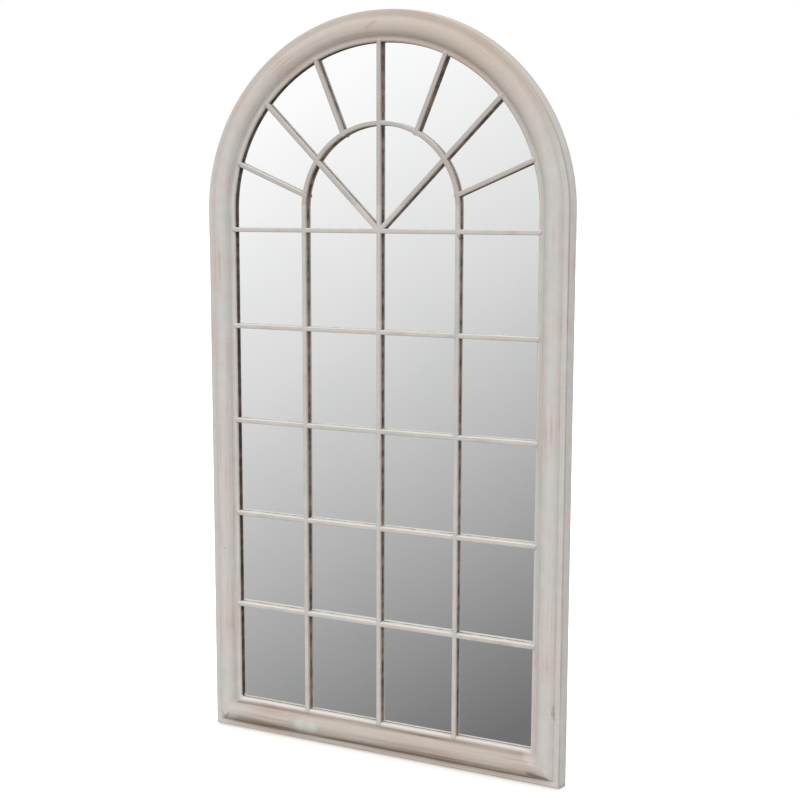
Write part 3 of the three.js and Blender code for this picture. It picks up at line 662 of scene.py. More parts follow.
def barPaintMaterial(s):
    # The same whitewash on the glazing bars: bright on the fronts, gone to dark brown on the back half of the
    # sides, with a painted highlight on the sides that face up and painted shade towards the outer ends of
    # the fan's rays
    material, tree = newMaterial("whitewash over brown on glazing bars")
    place = addNode(tree, "ShaderNodeTexCoord")
    spot = place.outputs["Object"]
    broad = addNode(tree, "ShaderNodeTexNoise",
                    {"Vector": spot, "Scale": perMetre(s["barCloud"]), "Detail": 2.0})
    white, patch, grain = paintTones(tree, spot, broad.outputs["Fac"], s["barTones"], s)
    xyz = addNode(tree, "ShaderNodeSeparateXYZ", {0: spot})
    facing = addNode(tree, "ShaderNodeNewGeometry")
    slope = addNode(tree, "ShaderNodeSeparateXYZ", {0: facing.outputs["Normal"]})
    # mm behind mid-depth
    depth = addNode(tree, "ShaderNodeMath", {0: xyz.outputs["Y"], 1: 1000.0}, operation="MULTIPLY")
    # in the fan the outer ends of the rays are barer, and the brown there on faces that don't look up is also
    # painted shade in the corners against the frame
    low = addNode(tree, "ShaderNodeVectorMath", {0: spot, 1: (0.0, 0.0, s["fanMiddle"])},
                  operation="SUBTRACT")
    flat = addNode(tree, "ShaderNodeVectorMath", {0: low.outputs[0], 1: (1.0, 0.0, 1.0)},
                   operation="MULTIPLY")
    reach = addNode(tree, "ShaderNodeVectorMath", {0: flat.outputs[0]}, operation="LENGTH")
    outer = addNode(tree, "ShaderNodeMapRange",
                    {"Value": reach.outputs["Value"], "From Min": 0.10, "From Max": 0.235, "To Min": 0.0,
                     "To Max": 2.6})
    fan = addNode(tree, "ShaderNodeMath", {0: xyz.outputs["Z"], 1: s["fanFrom"]}, operation="GREATER_THAN")
    sheltered = addNode(tree, "ShaderNodeMapRange",
                        {"Value": slope.outputs["Z"], "From Min": 0.1, "From Max": 0.5, "To Min": 1.0,
                         "To Max": 0.0})
    reached = addNode(tree, "ShaderNodeMath", {0: fan.outputs[0], 1: sheltered.outputs[0]},
                      operation="MULTIPLY")
    fanBareAndShade = addNode(tree, "ShaderNodeMath", {0: outer.outputs[0], 1: reached.outputs[0]},
                      operation="MULTIPLY")
    upward = addNode(tree, "ShaderNodeMapRange",
                     {"Value": slope.outputs["Z"], "From Min": -0.1, "From Max": 1.0, "To Min": -0.9,
                      "To Max": 3.0})
    edge = addNode(tree, "ShaderNodeMath", {0: upward.outputs[0], 1: fanBareAndShade.outputs[0]},
                   operation="SUBTRACT")
    tear = addNode(tree, "ShaderNodeTexNoise",
                   {"Vector": spot, "Scale": perMetre(s["tear"]), "Detail": 2.0, "Roughness": 0.5})
    ragged = addNode(tree, "ShaderNodeMapRange",
                     {"Value": tear.outputs["Fac"], "From Min": 0.3, "From Max": 0.7, "To Min": -0.7,
                      "To Max": 0.7})
    line = addNode(tree, "ShaderNodeMath", {0: edge.outputs[0], 1: ragged.outputs[0]}, operation="ADD")
    past = addNode(tree, "ShaderNodeMath", {0: depth.outputs[0], 1: line.outputs[0]}, operation="SUBTRACT")
    bare = addNode(tree, "ShaderNodeMapRange", {"Value": past.outputs[0], "From Min": -0.9, "From Max": 0.7})
    brown = addNode(tree, "ShaderNodeValToRGB", {"Fac": patch}, stops=s["barBrowns"])
    # painted highlight: the upward-facing sides of the bars are whitened in place of light from above
    raised = addNode(tree, "ShaderNodeMapRange",
                     {"Value": slope.outputs["Z"], "From Min": 0.35, "From Max": 0.9, "To Max": 0.9})
    dull = addNode(tree, "ShaderNodeMath", {0: fan.outputs[0], 1: 0.45}, operation="MULTIPLY")
    fanWhite = addNode(tree, "ShaderNodeMix", {0: dull.outputs[0], 6: white, 7: hexColour(s["fanGrey"])},
                       data_type="RGBA")
    paintedTopLight = addNode(tree, "ShaderNodeMix",
                     {0: raised.outputs[0], 6: fanWhite.outputs[2], 7: hexColour(s["paintedTopLight"])},
                     data_type="RGBA")
    marked = paintMarks(tree, spot, patch, paintedTopLight.outputs[2], s["barMarks"])
    colour = addNode(tree, "ShaderNodeMix", {0: bare.outputs[0], 6: marked, 7: brown.outputs["Color"]},
                     data_type="RGBA")
    paintFinish(tree, colour.outputs[2], bare.outputs[0], patch, grain, broad.outputs["Fac"])
    return material


framePaint = framePaintMaterial(whitewash)
barPaint = barPaintMaterial(whitewash)
makeMoulding(moulding, framePaint)
print("moulding made")


# Glazing bars: a rounded bar carried along each line of the grille
bars = {
    "width": 7.0, "depth": 9.75, "edge": 1.6, "back": 11.05, "lap": 2.5,  # the backs all but touch the glass
    "pitch": 126.75, "topBar": 831.0, "rowPitch": 153.6, "rows": 5,
    "hubLift": 5.0, "rayStep": 22.3, "archSteps": 72, "edgeSteps": 4,
}


def sweepTree():
    # sweeps a rounded bar along the piece's own line of edges, drawn flat as (x, z, 0) and stood up at the
    # end
    tree = bpy.data.node_groups.new("bar along a line", "GeometryNodeTree")
    face = tree.interface
    face.new_socket("Line", in_out="INPUT", socket_type="NodeSocketGeometry")
    for label in ("Width", "Depth", "Edge radius", "Back"):
        face.new_socket(label, in_out="INPUT", socket_type="NodeSocketFloat")
    face.new_socket("Edge steps", in_out="INPUT", socket_type="NodeSocketInt")
    face.new_socket("Finish", in_out="INPUT", socket_type="NodeSocketMaterial")
    face.new_socket("Bar", in_out="OUTPUT", socket_type="NodeSocketGeometry")
    given = addNode(tree, "NodeGroupInput").outputs
    line = addNode(tree, "GeometryNodeMeshToCurve", {"Mesh": given["Line"]})
    level = addNode(tree, "GeometryNodeSetCurveNormal", {"Curve": line.outputs[0]}, mode="Z_UP")
    blank = addNode(tree, "GeometryNodeCurvePrimitiveQuadrilateral",
                    {"Width": given["Width"], "Height": given["Depth"]}, mode="RECTANGLE")
    halfDepth = addNode(tree, "ShaderNodeMath", {0: given["Depth"], 1: 0.5}, operation="MULTIPLY")
    rise = addNode(tree, "ShaderNodeMath", {0: halfDepth.outputs[0], 1: given["Back"]}, operation="ADD")
    # the sweep turns the section over
    forward = addNode(tree, "ShaderNodeMath", {0: rise.outputs[0], 1: -1.0}, operation="MULTIPLY")
    offset = addNode(tree, "ShaderNodeCombineXYZ", {"Y": forward.outputs[0]})
    height = addNode(tree, "GeometryNodeInputPosition")
    heights = addNode(tree, "ShaderNodeSeparateXYZ", {0: height.outputs[0]})
    front = addNode(tree, "FunctionNodeCompare", {0: heights.outputs["Y"], 1: 0.0}, data_type="FLOAT",
                    operation="LESS_THAN")
    radius = addNode(tree, "ShaderNodeMath", {0: front.outputs[0], 1: given["Edge radius"]},
                     operation="MULTIPLY")
    rounded = addNode(tree, "GeometryNodeFilletCurve",
                      {"Curve": blank.outputs[0], "Count": given["Edge steps"], "Radius": radius.outputs[0]},
                      mode="POLY")
    lifted = addNode(tree, "GeometryNodeTransform",
                     {"Geometry": rounded.outputs[0], "Translation": offset.outputs[0]})
    swept = addNode(tree, "GeometryNodeCurveToMesh",
                    {"Curve": level.outputs[0], "Profile Curve": lifted.outputs[0], "Fill Caps": True})
    stood = addNode(tree, "GeometryNodeTransform",
                    {"Geometry": swept.outputs[0], "Rotation": (math.pi / 2, 0, 0)})
    whole = addNode(tree, "GeometryNodeRealizeInstances", {"Geometry": stood.outputs[0]})
    finished = addNode(tree, "GeometryNodeSetMaterial",
                       {"Geometry": whole.outputs[0], "Material": given["Finish"]})
    addNode(tree, "NodeGroupOutput", {"Bar": finished.outputs[0]})
    return tree


def setInputs(modifier, values):
    # by socket identifier, before the piece is first evaluated
    for item in modifier.node_group.interface.items_tree:
        if item.in_out == "INPUT" and item.name in values:
            modifier[item.identifier] = values[item.name]


def settle(piece):
    # the evaluated piece as a plain mesh, with its modifiers gone
    graph = bpy.context.evaluated_depsgraph_get()
    plain = bpy.data.meshes.new_from_object(piece.evaluated_get(graph), preserve_all_data_layers=True,
                                            depsgraph=graph)
    piece.modifiers.clear()
    piece.data = plain
    return piece


def faceOut(mesh):
    build = bmesh.new()
    build.from_mesh(mesh)
    bmesh.ops.remove_doubles(build, verts=build.verts, dist=1e-5)
    bmesh.ops.recalc_face_normals(build, faces=build.faces)
    build.to_mesh(mesh)
    build.free()


def barLines(b, m):
    # name, line through the bar in mm, how far it is set back so that crossing fronts don't share a plane
    opening = m["width"] / 2 - m["stileFace"]
    centre = m["height"] - m["width"] / 2
    reach = opening + b["lap"]
    foot = m["railFace"] - b["lap"]
    lines = []
    for row in range(b["rows"]):
        z = b["topBar"] - row * b["rowPitch"]
        lines.append((f"cross_bar_{row + 1}", [(-reach, z), (reach, z)], 0.12))
    for side, word in ((-1, "left"), (1, "right")):
        lines.append((f"{word}_bar", [(side * b["pitch"], foot), (side * b["pitch"], centre + b["hubLift"])],
                      0.0))
    lines.append(("centre_bar", [(0, foot), (0, centre + reach)], 0.0))
    bend = []
    for i in range(b["archSteps"] + 1):
        angle = math.pi * i / b["archSteps"]
        bend.append((b["pitch"] * math.cos(angle), centre + b["hubLift"] + b["pitch"] * math.sin(angle)))
    lines.append(("inner_arch", bend, 0.06))
    drop = centre - b["topBar"]
    rays = (("left_low_ray", 3), ("left_long_ray", 2), ("left_high_ray", 1), ("right_high_ray", -1),
            ("right_long_ray", -2), ("right_low_ray", -3))
    for name, steps in rays:
        angle = math.radians(90 + steps * b["rayStep"])
        dx, dz = math.cos(angle), math.sin(angle)
        end = drop * dz + math.sqrt(reach ** 2 - (drop * dx) ** 2)
        lift = centre + b["hubLift"] - b["topBar"]  # the inner arch's centre above the hub
        start = 3.0 if "long" in name else lift * dz + math.sqrt(b["pitch"] ** 2 - (lift * dx) ** 2)
        lines.append((name, [(dx * start, b["topBar"] + dz * start), (dx * end, b["topBar"] + dz * end)],
                      0.2))
    return lines


def makeBars(b, m, material):
    tree = sweepTree()
    for name, line, setBack in barLines(b, m):
        fine = []
        for (x0, z0), (x1, z1) in zip(line, line[1:]):
            pieces = max(1, round(math.dist((x0, z0), (x1, z1)) / 12))
            fine += [(x0 + (x1 - x0) * i / pieces, z0 + (z1 - z0) * i / pieces) for i in range(pieces)]
        fine.append(line[-1])
        mesh = bpy.data.meshes.new(name)
        mesh.from_pydata([(x * mm, z * mm, 0) for x, z in fine], [(i, i + 1) for i in range(len(fine) - 1)],
                         [])
        piece = linkObject(f"{name}_sweep", mesh)
        modifier = piece.modifiers.new("sweep", "NODES")
        modifier.node_group = tree
        setInputs(modifier,
                  {"Width": b["width"] * mm, "Depth": (b["depth"] - setBack) * mm,
                   "Edge radius": b["edge"] * mm,
                             "Back": (b["back"] - wallY) * mm, "Edge steps": b["edgeSteps"],
                             "Finish": material})
        settle(piece)
        faceOut(piece.data)
        for polygon in piece.data.polygons:
            polygon.use_smooth = True
        piece.data.set_sharp_from_angle(angle=math.radians(32))
        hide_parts(name)
        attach(piece, "root")


makeBars(bars, moulding, barPaint)
print("bars made")


# Welds: a low pad over each crossing that fills its corners, and a rounded nub where a bar laps the bead
welds = {
    # half sizes across, forwards and along, and how far the middle sits behind the fronts
    "pad": (4.7, 1.0, 4.7), "padSunk": 0.84,
    "nub": (3.9, 2.3, 3.3), "nubSunk": 1.7, "nubIn": 1.2, "smoothness": 3, "seed": 11, "vary": 0.08,
    "reach": 3.2, "apart": 6,  # how short of a line a bar may stop, and the least distance between two welds
}


def crossings(lines, reach, apart):
    # where two bars of the grille cross or meet, in mm
    found = []
    for i, (name, first, _) in enumerate(lines):
        for other, second, _ in lines[i + 1:]:
            if other == "inner_arch" and name in ("left_bar", "right_bar"):
                continue  # these run on into each other
            for (ax, az), (bx, bz) in zip(first, first[1:]):
                for (cx, cz), (dx, dz) in zip(second, second[1:]):
                    turn = (bx - ax) * (dz - cz) - (bz - az) * (dx - cx)
                    if abs(turn) < 1e-9:
                        continue
                    t = ((cx - ax) * (dz - cz) - (cz - az) * (dx - cx)) / turn
                    u = ((cx - ax) * (bz - az) - (cz - az) * (bx - ax)) / turn
                    slack = reach / math.dist((cx, cz), (dx, dz))
                    slackFirst = reach / math.dist((ax, az), (bx, bz))
                    if -slackFirst <= t <= 1 + slackFirst and -slack <= u <= 1 + slack:
                        here = (ax + t * (bx - ax), az + t * (bz - az))
                        if all(math.dist(here, known) > apart for known in found):
                            found.append(here)
    return found


def weldTree():
    tree = bpy.data.node_groups.new("welds on points", "GeometryNodeTree")
    face = tree.interface
    face.new_socket("Points", in_out="INPUT", socket_type="NodeSocketGeometry")
    face.new_socket("Smoothness", in_out="INPUT", socket_type="NodeSocketInt")
    face.new_socket("Seed", in_out="INPUT", socket_type="NodeSocketInt")
    face.new_socket("Vary", in_out="INPUT", socket_type="NodeSocketFloat")
    face.new_socket("Finish", in_out="INPUT", socket_type="NodeSocketMaterial")
    face.new_socket("Welds", in_out="OUTPUT", socket_type="NodeSocketGeometry")
    given = addNode(tree, "NodeGroupInput").outputs
    blob = addNode(tree, "GeometryNodeMeshIcoSphere", {"Radius": 1.0, "Subdivisions": given["Smoothness"]})
    soft = addNode(tree, "GeometryNodeSetShadeSmooth", {"Geometry": blob.outputs[0]})
    stretch = addNode(tree, "GeometryNodeInputNamedAttribute", {"Name": "stretch"}, data_type="FLOAT_VECTOR")
    turn = addNode(tree, "GeometryNodeInputNamedAttribute", {"Name": "turn"}, data_type="FLOAT")
    upright = addNode(tree, "ShaderNodeCombineXYZ", {"Y": turn.outputs["Attribute"]})
    rotation = addNode(tree, "FunctionNodeEulerToRotation", {0: upright.outputs[0]})
    least = addNode(tree, "ShaderNodeMath", {0: 1.0, 1: given["Vary"]}, operation="SUBTRACT")
    most = addNode(tree, "ShaderNodeMath", {0: 1.0, 1: given["Vary"]}, operation="ADD")
    size = addNode(tree, "FunctionNodeRandomValue", {"Seed": given["Seed"]}, data_type="FLOAT")
    tree.links.new(least.outputs[0], size.inputs[2])
    tree.links.new(most.outputs[0], size.inputs[3])
    scaled = addNode(tree, "ShaderNodeVectorMath",
                     {0: stretch.outputs["Attribute"], "Scale": size.outputs[1]}, operation="SCALE")
    placed = addNode(tree, "GeometryNodeInstanceOnPoints",
                     {"Points": given["Points"], "Instance": soft.outputs[0], "Rotation": rotation.outputs[0],
                      "Scale": scaled.outputs[0]})
    whole = addNode(tree, "GeometryNodeRealizeInstances", {"Geometry": placed.outputs[0]})
    finished = addNode(tree, "GeometryNodeSetMaterial",
                       {"Geometry": whole.outputs[0], "Material": given["Finish"]})
    addNode(tree, "NodeGroupOutput", {"Welds": finished.outputs[0]})
    return tree


def pointMesh(name, points, attributes):
    # points in mm, and for each attribute its kind and one value per point
    mesh = bpy.data.meshes.new(name)
    mesh.from_pydata([tuple(v * mm for v in point) for point in points], [], [])
    for label, (kind, values) in attributes.items():
        layer = mesh.attributes.new(label, kind, "POINT")
        for i, value in enumerate(values):
            if kind == "FLOAT_VECTOR":
                layer.data[i].vector = value
            else:
                layer.data[i].value = value
    return mesh


def makeWelds(w, b, m, material):
    front = wallY - b["back"] - b["depth"]
    lines = barLines(b, m)
    opening, centre = m["width"] / 2 - m["stileFace"], m["height"] - m["width"] / 2
    points, turns, sizes = [], [], []
    for x, z in crossings(lines, w["reach"], w["apart"]):
        points.append((x, front + w["padSunk"], z))
        turns.append(0.0)
        sizes.append(tuple(v * mm for v in w["pad"]))
    for name, line, _ in lines:
        for (x, z), (nextX, nextZ) in ((line[0], line[1]), (line[-1], line[-2])):
            onFrame = abs(x) > opening or z < m["railFace"] or (z > centre
                                                                and math.hypot(x, z - centre) > opening)
            if onFrame:
                far = math.dist((x, z), (nextX, nextZ))
                alongX, alongZ = (nextX - x) / far, (nextZ - z) / far
                points.append((x + alongX * w["nubIn"], front + w["nubSunk"], z + alongZ * w["nubIn"]))
                turns.append(math.atan2(alongX, alongZ))  # the nub's long axis is its own z
                sizes.append(tuple(v * mm for v in w["nub"]))
    mesh = pointMesh("grille_welds", points, {"stretch": ("FLOAT_VECTOR", sizes), "turn": ("FLOAT", turns)})
    piece = linkObject("grille_welds", mesh)
    modifier = piece.modifiers.new("welds", "NODES")
    modifier.node_group = weldTree()
    setInputs(modifier,
              {"Smoothness": w["smoothness"], "Seed": w["seed"], "Vary": w["vary"], "Finish": material})
    settle(piece)
    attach(piece, "root")


makeWelds(welds, bars, moulding, barPaint)
print("welds made")


# Mirror glass and backing board: the CAD pieces, with their own finishes
def mirrorMaterial():
    # Silvered float glass: near-perfect reflection, cool by a hair, with the faintest unevenness of float
    # glass
    material, tree = newMaterial("silvered float glass")
    place = addNode(tree, "ShaderNodeTexCoord")
    haze = addNode(tree, "ShaderNodeTexNoise",
                   {"Vector": place.outputs["Object"], "Scale": perMetre(140), "Detail": 3.0})
    tone = addNode(tree, "ShaderNodeValToRGB", {"Fac": haze.outputs["Fac"]},
                   stops=((0.35, "#F6F7F7"), (0.65, "#F9F9F9")))
    skin = addNode(tree, "ShaderNodeBsdfPrincipled",
                   {"Base Color": tone.outputs["Color"], "Metallic": 1.0, "Roughness": 0.015})
    addNode(tree, "ShaderNodeOutputMaterial", {"Surface": skin.outputs["BSDF"]})
    return material


def boardMaterial():
    # Tempered hardboard: brown pressed fibre, matt, cloudy where the fibre lay thicker, with the weave of the
    # pressing screen on it (drawn at 4 mm, coarser than the real 1.5 mm, so that it shows)
    material, tree = newMaterial("brown hardboard")
    place = addNode(tree, "ShaderNodeTexCoord")
    spot = place.outputs["Object"]
    fleck = addNode(tree, "ShaderNodeTexNoise",
                    {"Vector": spot, "Scale": perMetre(2.5), "Detail": 6.0, "Roughness": 0.7})
    cloud = addNode(tree, "ShaderNodeTexNoise",
                    {"Vector": spot, "Scale": perMetre(160), "Detail": 4.0, "Roughness": 0.55})
    mean = addNode(tree, "ShaderNodeMix", {0: 0.55, 2: fleck.outputs["Fac"], 3: cloud.outputs["Fac"]})
    tone = addNode(tree, "ShaderNodeValToRGB", {"Fac": mean.outputs[0]},
                   stops=((0.36, "#543C2A"), (0.5, "#6B4D35"), (0.63, "#83644A")))
    cross = addNode(tree, "ShaderNodeSeparateXYZ", {0: spot})
    threads = []
    for axis in ("X", "Z"):
        phase = addNode(tree, "ShaderNodeMath", {0: cross.outputs[axis], 1: perMetre(4) * 2 * math.pi},
                        operation="MULTIPLY")
        threads.append(addNode(tree, "ShaderNodeMath", {0: phase.outputs[0]}, operation="SINE"))
    weave = addNode(tree, "ShaderNodeMath", {0: threads[0].outputs[0], 1: threads[1].outputs[0]},
                    operation="MULTIPLY")
    height = addNode(tree, "ShaderNodeMath", {0: weave.outputs[0], 1: 0.35, 2: fleck.outputs["Fac"]},
                     operation="MULTIPLY_ADD")
    bump = addNode(tree, "ShaderNodeBump", {"Height": height.outputs[0], "Distance": 0.0004, "Strength": 0.5})
    rough = addNode(tree, "ShaderNodeMapRange",
                    {"Value": cloud.outputs["Fac"], "From Min": 0.3, "From Max": 0.7, "To Min": 0.66,
                     "To Max": 0.82})
    skin = addNode(tree, "ShaderNodeBsdfPrincipled",
                   {"Base Color": tone.outputs["Color"], "Roughness": rough.outputs[0],
                    "Normal": bump.outputs[0]})
    addNode(tree, "ShaderNodeOutputMaterial", {"Surface": skin.outputs["BSDF"]})
    return material


def zincMaterial():
    # Bright zinc plate on pressed steel: bluish, softly brushed, a little cloudy
    material, tree = newMaterial("zinc plated steel")
    place = addNode(tree, "ShaderNodeTexCoord")
    cloud = addNode(tree, "ShaderNodeTexNoise",
                    {"Vector": place.outputs["Object"], "Scale": perMetre(4), "Detail": 4.0})
    tone = addNode(tree, "ShaderNodeValToRGB", {"Fac": cloud.outputs["Fac"]},
                   stops=((0.3, "#A9ADB2"), (0.6, "#C3C6C8"), (0.8, "#CFCDC4")))
    rough = addNode(tree, "ShaderNodeMapRange",
                    {"Value": cloud.outputs["Fac"], "From Min": 0.3, "From Max": 0.7, "To Min": 0.28,
                     "To Max": 0.45})
    skin = addNode(tree, "ShaderNodeBsdfPrincipled",
                   {"Base Color": tone.outputs["Color"], "Metallic": 1.0, "Roughness": rough.outputs[0]})
    addNode(tree, "ShaderNodeOutputMaterial", {"Surface": skin.outputs["BSDF"]})
    return material


def dressNode(name, material):
    mesh = nodes[name].data
    if not mesh.materials:
        mesh.materials.append(material)
    for i in range(len(mesh.materials)):
        mesh.materials[i] = material


dressNode("mirror_glass", mirrorMaterial())
dressNode("backing_board", boardMaterial())
zincPlate = zincMaterial()
for name in ("left_hanger", "right_hanger"):
    dressNode(name, zincPlate)
print("glass and board dressed")


# Retaining clips: pressed strips that hold the board, ten places round the opening, and their screws
clips = {
    "width": 15.6, "sheet": 1.2, "bend": 1.7, "bendSteps": 5, "count": 10,
    # outwards from the opening's edge, in front of the wall
    "section": ((-5.0, 3.8), (7.6, 3.8), (7.6, 10.4), (15.2, 10.4)),
    "stileAt": (185.0, 457.5, 730.0), "railAt": 120.0, "archAngle": 52.0, "screwOut": 11.7,
}
screws = {
    "headRadius": 3.0, "headHeight": 1.8, "shankRadius": 1.5, "shankLength": 7.0, "seat": 9.5,
    "facing": -math.pi / 2, "recess": True, "seed": 5,
}
rivets = {
    "headRadius": 3.0, "headHeight": 1.1, "shankRadius": 1.6, "shankLength": 3.1, "seat": 3.3,
    "facing": math.pi / 2, "recess": False, "seed": 7,
    "across": 292.8, "heights": (778.0, 822.0),
}


def clipPlaces(c, m):
    # a point on the opening's edge and the angle that points away from the opening, in the order of the
    # clips' numbers
    half, centre = m["width"] / 2 - m["stileFace"], m["height"] - m["width"] / 2
    places = []
    for side in (-1, 1):
        angle = math.pi if side < 0 else 0.0
        places += [((side * half, z), angle) for z in c["stileAt"]]
        places.append(((side * c["railAt"], m["railFace"]), -math.pi / 2))
        bend = math.radians(c["archAngle"] if side > 0 else 180 - c["archAngle"])
        places.append(((half * math.cos(bend), centre + half * math.sin(bend)), bend))
    return places


def clipTree():
    # a rounded strip along each piece of line, its width along the line's "broad" direction
    tree = bpy.data.node_groups.new("bent strips", "GeometryNodeTree")
    face = tree.interface
    face.new_socket("Lines", in_out="INPUT", socket_type="NodeSocketGeometry")
    for label in ("Width", "Sheet", "Bend radius"):
        face.new_socket(label, in_out="INPUT", socket_type="NodeSocketFloat")
    face.new_socket("Bend steps", in_out="INPUT", socket_type="NodeSocketInt")
    face.new_socket("Finish", in_out="INPUT", socket_type="NodeSocketMaterial")
    face.new_socket("Strips", in_out="OUTPUT", socket_type="NodeSocketGeometry")
    given = addNode(tree, "NodeGroupInput").outputs
    line = addNode(tree, "GeometryNodeMeshToCurve", {"Mesh": given["Lines"]})
    bent = addNode(tree, "GeometryNodeFilletCurve",
                   {"Curve": line.outputs[0], "Count": given["Bend steps"], "Radius": given["Bend radius"]},
                   mode="POLY")
    broad = addNode(tree, "GeometryNodeInputNamedAttribute", {"Name": "broad"}, data_type="FLOAT_VECTOR")
    level = addNode(tree, "GeometryNodeSetCurveNormal",
                    {"Curve": bent.outputs[0], "Normal": broad.outputs["Attribute"]}, mode="FREE")
    blank = addNode(tree, "GeometryNodeCurvePrimitiveQuadrilateral",
                    {"Width": given["Width"], "Height": given["Sheet"]}, mode="RECTANGLE")
    edge = addNode(tree, "ShaderNodeMath", {0: given["Sheet"], 1: 0.22}, operation="MULTIPLY")
    rounded = addNode(tree, "GeometryNodeFilletCurve",
                      {"Curve": blank.outputs[0], "Count": 2, "Radius": edge.outputs[0]}, mode="POLY")
    swept = addNode(tree, "GeometryNodeCurveToMesh",
                    {"Curve": level.outputs[0], "Profile Curve": rounded.outputs[0], "Fill Caps": True})
    whole = addNode(tree, "GeometryNodeRealizeInstances", {"Geometry": swept.outputs[0]})
    finished = addNode(tree, "GeometryNodeSetMaterial",
                       {"Geometry": whole.outputs[0], "Material": given["Finish"]})
    addNode(tree, "NodeGroupOutput", {"Strips": finished.outputs[0]})
    return tree


def fastenerTree():
    # a domed head with or without a cross recess, and its shank, set on every point and turned by chance
    tree = bpy.data.node_groups.new("fasteners on points", "GeometryNodeTree")
    face = tree.interface
    face.new_socket("Points", in_out="INPUT", socket_type="NodeSocketGeometry")
    for label in ("Head radius", "Head height", "Shank radius", "Shank length", "Facing"):
        face.new_socket(label, in_out="INPUT", socket_type="NodeSocketFloat")
    face.new_socket("Recess", in_out="INPUT", socket_type="NodeSocketBool")
    face.new_socket("Seed", in_out="INPUT", socket_type="NodeSocketInt")
    face.new_socket("Finish", in_out="INPUT", socket_type="NodeSocketMaterial")
    face.new_socket("Fasteners", in_out="OUTPUT", socket_type="NodeSocketGeometry")
    given = addNode(tree, "NodeGroupInput").outputs
    ball = addNode(tree, "GeometryNodeMeshUVSphere", {"Segments": 32, "Rings": 20, "Radius": 1.0})
    squash = addNode(tree, "ShaderNodeCombineXYZ",
                     {"X": given["Head radius"], "Y": given["Head radius"], "Z": given["Head height"]})
    dome = addNode(tree, "GeometryNodeTransform", {"Geometry": ball.outputs[0], "Scale": squash.outputs[0]})
    wide = addNode(tree, "ShaderNodeMath", {0: given["Head radius"], 1: 3.0}, operation="MULTIPLY")
    blockSize = addNode(tree, "ShaderNodeCombineXYZ",
                        {"X": wide.outputs[0], "Y": wide.outputs[0], "Z": wide.outputs[0]})
    block = addNode(tree, "GeometryNodeMeshCube", {"Size": blockSize.outputs[0]})
    half = addNode(tree, "ShaderNodeMath", {0: wide.outputs[0], 1: -0.5}, operation="MULTIPLY")
    below = addNode(tree, "ShaderNodeCombineXYZ", {"Z": half.outputs[0]})
    under = addNode(tree, "GeometryNodeTransform",
                    {"Geometry": block.outputs[0], "Translation": below.outputs[0]})
    flat = addNode(tree, "GeometryNodeMeshBoolean", {"Mesh 1": dome.outputs[0], "Mesh 2": under.outputs[0]},
                   operation="DIFFERENCE", solver="EXACT")
    armLong = addNode(tree, "ShaderNodeMath", {0: given["Head radius"], 1: 1.15}, operation="MULTIPLY")
    armWide = addNode(tree, "ShaderNodeMath", {0: given["Head radius"], 1: 0.27}, operation="MULTIPLY")
    armDeep = addNode(tree, "ShaderNodeMath", {0: given["Head height"], 1: 1.25}, operation="MULTIPLY")
    top = addNode(tree, "ShaderNodeCombineXYZ", {"Z": given["Head height"]})
    cut = flat
    for a, b in ((armLong, armWide), (armWide, armLong)):
        size = addNode(tree, "ShaderNodeCombineXYZ",
                       {"X": a.outputs[0], "Y": b.outputs[0], "Z": armDeep.outputs[0]})
        arm = addNode(tree, "GeometryNodeMeshCube", {"Size": size.outputs[0]})
        raised = addNode(tree, "GeometryNodeTransform",
                         {"Geometry": arm.outputs[0], "Translation": top.outputs[0]})
        cut = addNode(tree, "GeometryNodeMeshBoolean",
                      {"Mesh 1": cut.outputs[0], "Mesh 2": raised.outputs[0]}, operation="DIFFERENCE",
                      solver="EXACT")
    head = addNode(tree, "GeometryNodeSwitch",
                   {"Switch": given["Recess"], "False": flat.outputs[0], "True": cut.outputs[0]},
                   input_type="GEOMETRY")
    pin = addNode(tree, "GeometryNodeMeshCylinder",
                  {"Vertices": 24, "Radius": given["Shank radius"], "Depth": given["Shank length"]})
    down = addNode(tree, "ShaderNodeMath", {0: given["Shank length"], 1: -0.5, 2: 0.0001},
                   operation="MULTIPLY_ADD")
    drop = addNode(tree, "ShaderNodeCombineXYZ", {"Z": down.outputs[0]})
    shank = addNode(tree, "GeometryNodeTransform",
                    {"Geometry": pin.outputs[0], "Translation": drop.outputs[0]})
    both = addNode(tree, "GeometryNodeJoinGeometry")
    tree.links.new(shank.outputs[0], both.inputs[0])
    tree.links.new(head.outputs[0], both.inputs[0])
    aim = addNode(tree, "ShaderNodeCombineXYZ", {"X": given["Facing"]})
    aimed = addNode(tree, "FunctionNodeEulerToRotation", {0: aim.outputs[0]})
    placed = addNode(tree, "GeometryNodeInstanceOnPoints",
                     {"Points": given["Points"], "Instance": both.outputs[0], "Rotation": aimed.outputs[0]})
    chance = addNode(tree, "FunctionNodeRandomValue", {"Seed": given["Seed"]}, data_type="FLOAT")
    chance.inputs[2].default_value, chance.inputs[3].default_value = 0.0, math.pi
    spin = addNode(tree, "ShaderNodeCombineXYZ", {"Z": chance.outputs[1]})
    spun = addNode(tree, "FunctionNodeEulerToRotation", {0: spin.outputs[0]})
    turned = addNode(tree, "GeometryNodeRotateInstances",
                     {"Instances": placed.outputs[0], "Rotation": spun.outputs[0], "Local Space": True})
    whole = addNode(tree, "GeometryNodeRealizeInstances", {"Geometry": turned.outputs[0]})
    finished = addNode(tree, "GeometryNodeSetMaterial",
                       {"Geometry": whole.outputs[0], "Material": given["Finish"]})
    addNode(tree, "NodeGroupOutput", {"Fasteners": finished.outputs[0]})
    return tree


def finishFitting(piece, stands, crispAngle):
    settle(piece)
    faceOut(piece.data)
    for polygon in piece.data.polygons:
        polygon.use_smooth = True
    piece.data.set_sharp_from_angle(angle=math.radians(crispAngle))
    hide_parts(*stands)
    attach(piece, "root")


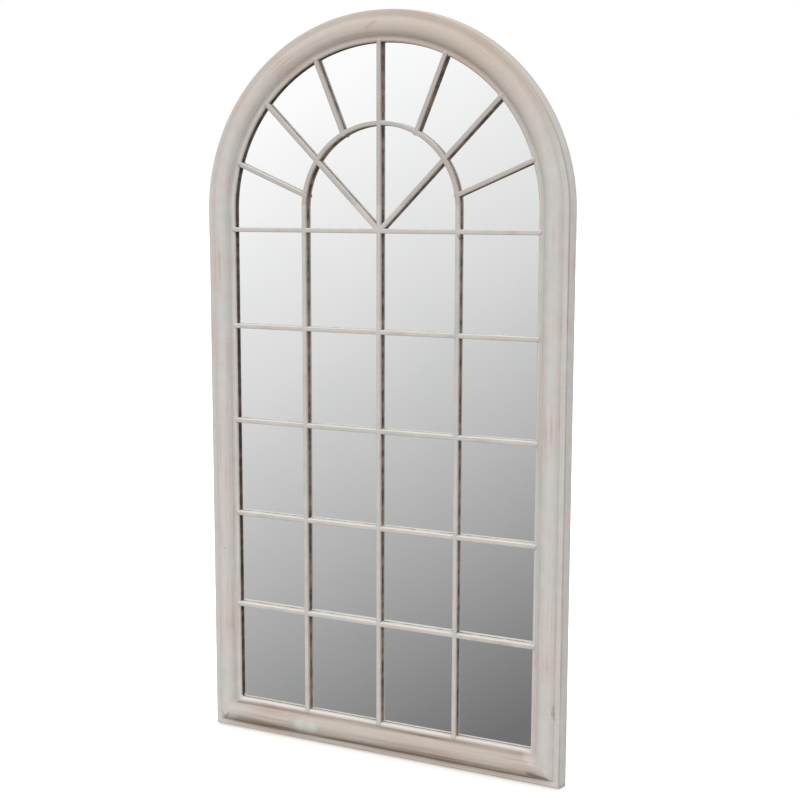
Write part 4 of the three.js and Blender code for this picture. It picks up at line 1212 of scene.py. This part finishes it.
def makeClips(c, m, material):
    verts, edges, broads = [], [], []
    for (x, z), angle in clipPlaces(c, m):
        outX, outZ = math.cos(angle), math.sin(angle)
        start = len(verts)
        for across, forwards in c["section"]:
            verts.append(((x + outX * across) * mm, (wallY - forwards) * mm, (z + outZ * across) * mm))
            broads.append((-outZ, 0.0, outX))
        edges += [(start + i, start + i + 1) for i in range(len(c["section"]) - 1)]
    mesh = bpy.data.meshes.new("retaining_clips")
    mesh.from_pydata(verts, edges, [])
    layer = mesh.attributes.new("broad", "FLOAT_VECTOR", "POINT")
    for i, broad in enumerate(broads):
        layer.data[i].vector = broad
    piece = linkObject("retaining_clips", mesh)
    modifier = piece.modifiers.new("strips", "NODES")
    modifier.node_group = clipTree()
    setInputs(modifier,
              {"Width": c["width"] * mm, "Sheet": c["sheet"] * mm, "Bend radius": c["bend"] * mm,
               "Bend steps": c["bendSteps"], "Finish": material})
    finishFitting(piece, [f"clip_{i:02d}" for i in range(1, c["count"] + 1)], 40)


def makeFasteners(name, f, places, stands, tree, material):
    piece = linkObject(name, pointMesh(name, [(x, wallY - f["seat"], z) for x, z in places], {}))
    modifier = piece.modifiers.new("fasteners", "NODES")
    modifier.node_group = tree
    setInputs(modifier,
              {"Head radius": f["headRadius"] * mm, "Head height": f["headHeight"] * mm,
               "Shank radius": f["shankRadius"] * mm,
                         "Shank length": f["shankLength"] * mm, "Facing": f["facing"], "Recess": f["recess"],
                         "Seed": f["seed"], "Finish": material})
    finishFitting(piece, stands, 35)


makeClips(clips, moulding, zincPlate)
fasteners = fastenerTree()
screwPlaces = [(x + math.cos(angle) * clips["screwOut"], z + math.sin(angle) * clips["screwOut"]) for (x, z),
               angle in clipPlaces(clips, moulding)]
makeFasteners("clip_screws", screws, screwPlaces,
              [f"clip_screw_{i:02d}" for i in range(1, clips["count"] + 1)], fasteners, zincPlate)
rivetPlaces = [(side * rivets["across"], z) for side in (-1, 1) for z in rivets["heights"]]
makeFasteners("hanger_rivets", rivets, rivetPlaces,
              [f"{side}_hanger_rivet_{i}" for side in ("left", "right") for i in (1, 2)], fasteners,
              zincPlate)
print("clips, screws and rivets made")
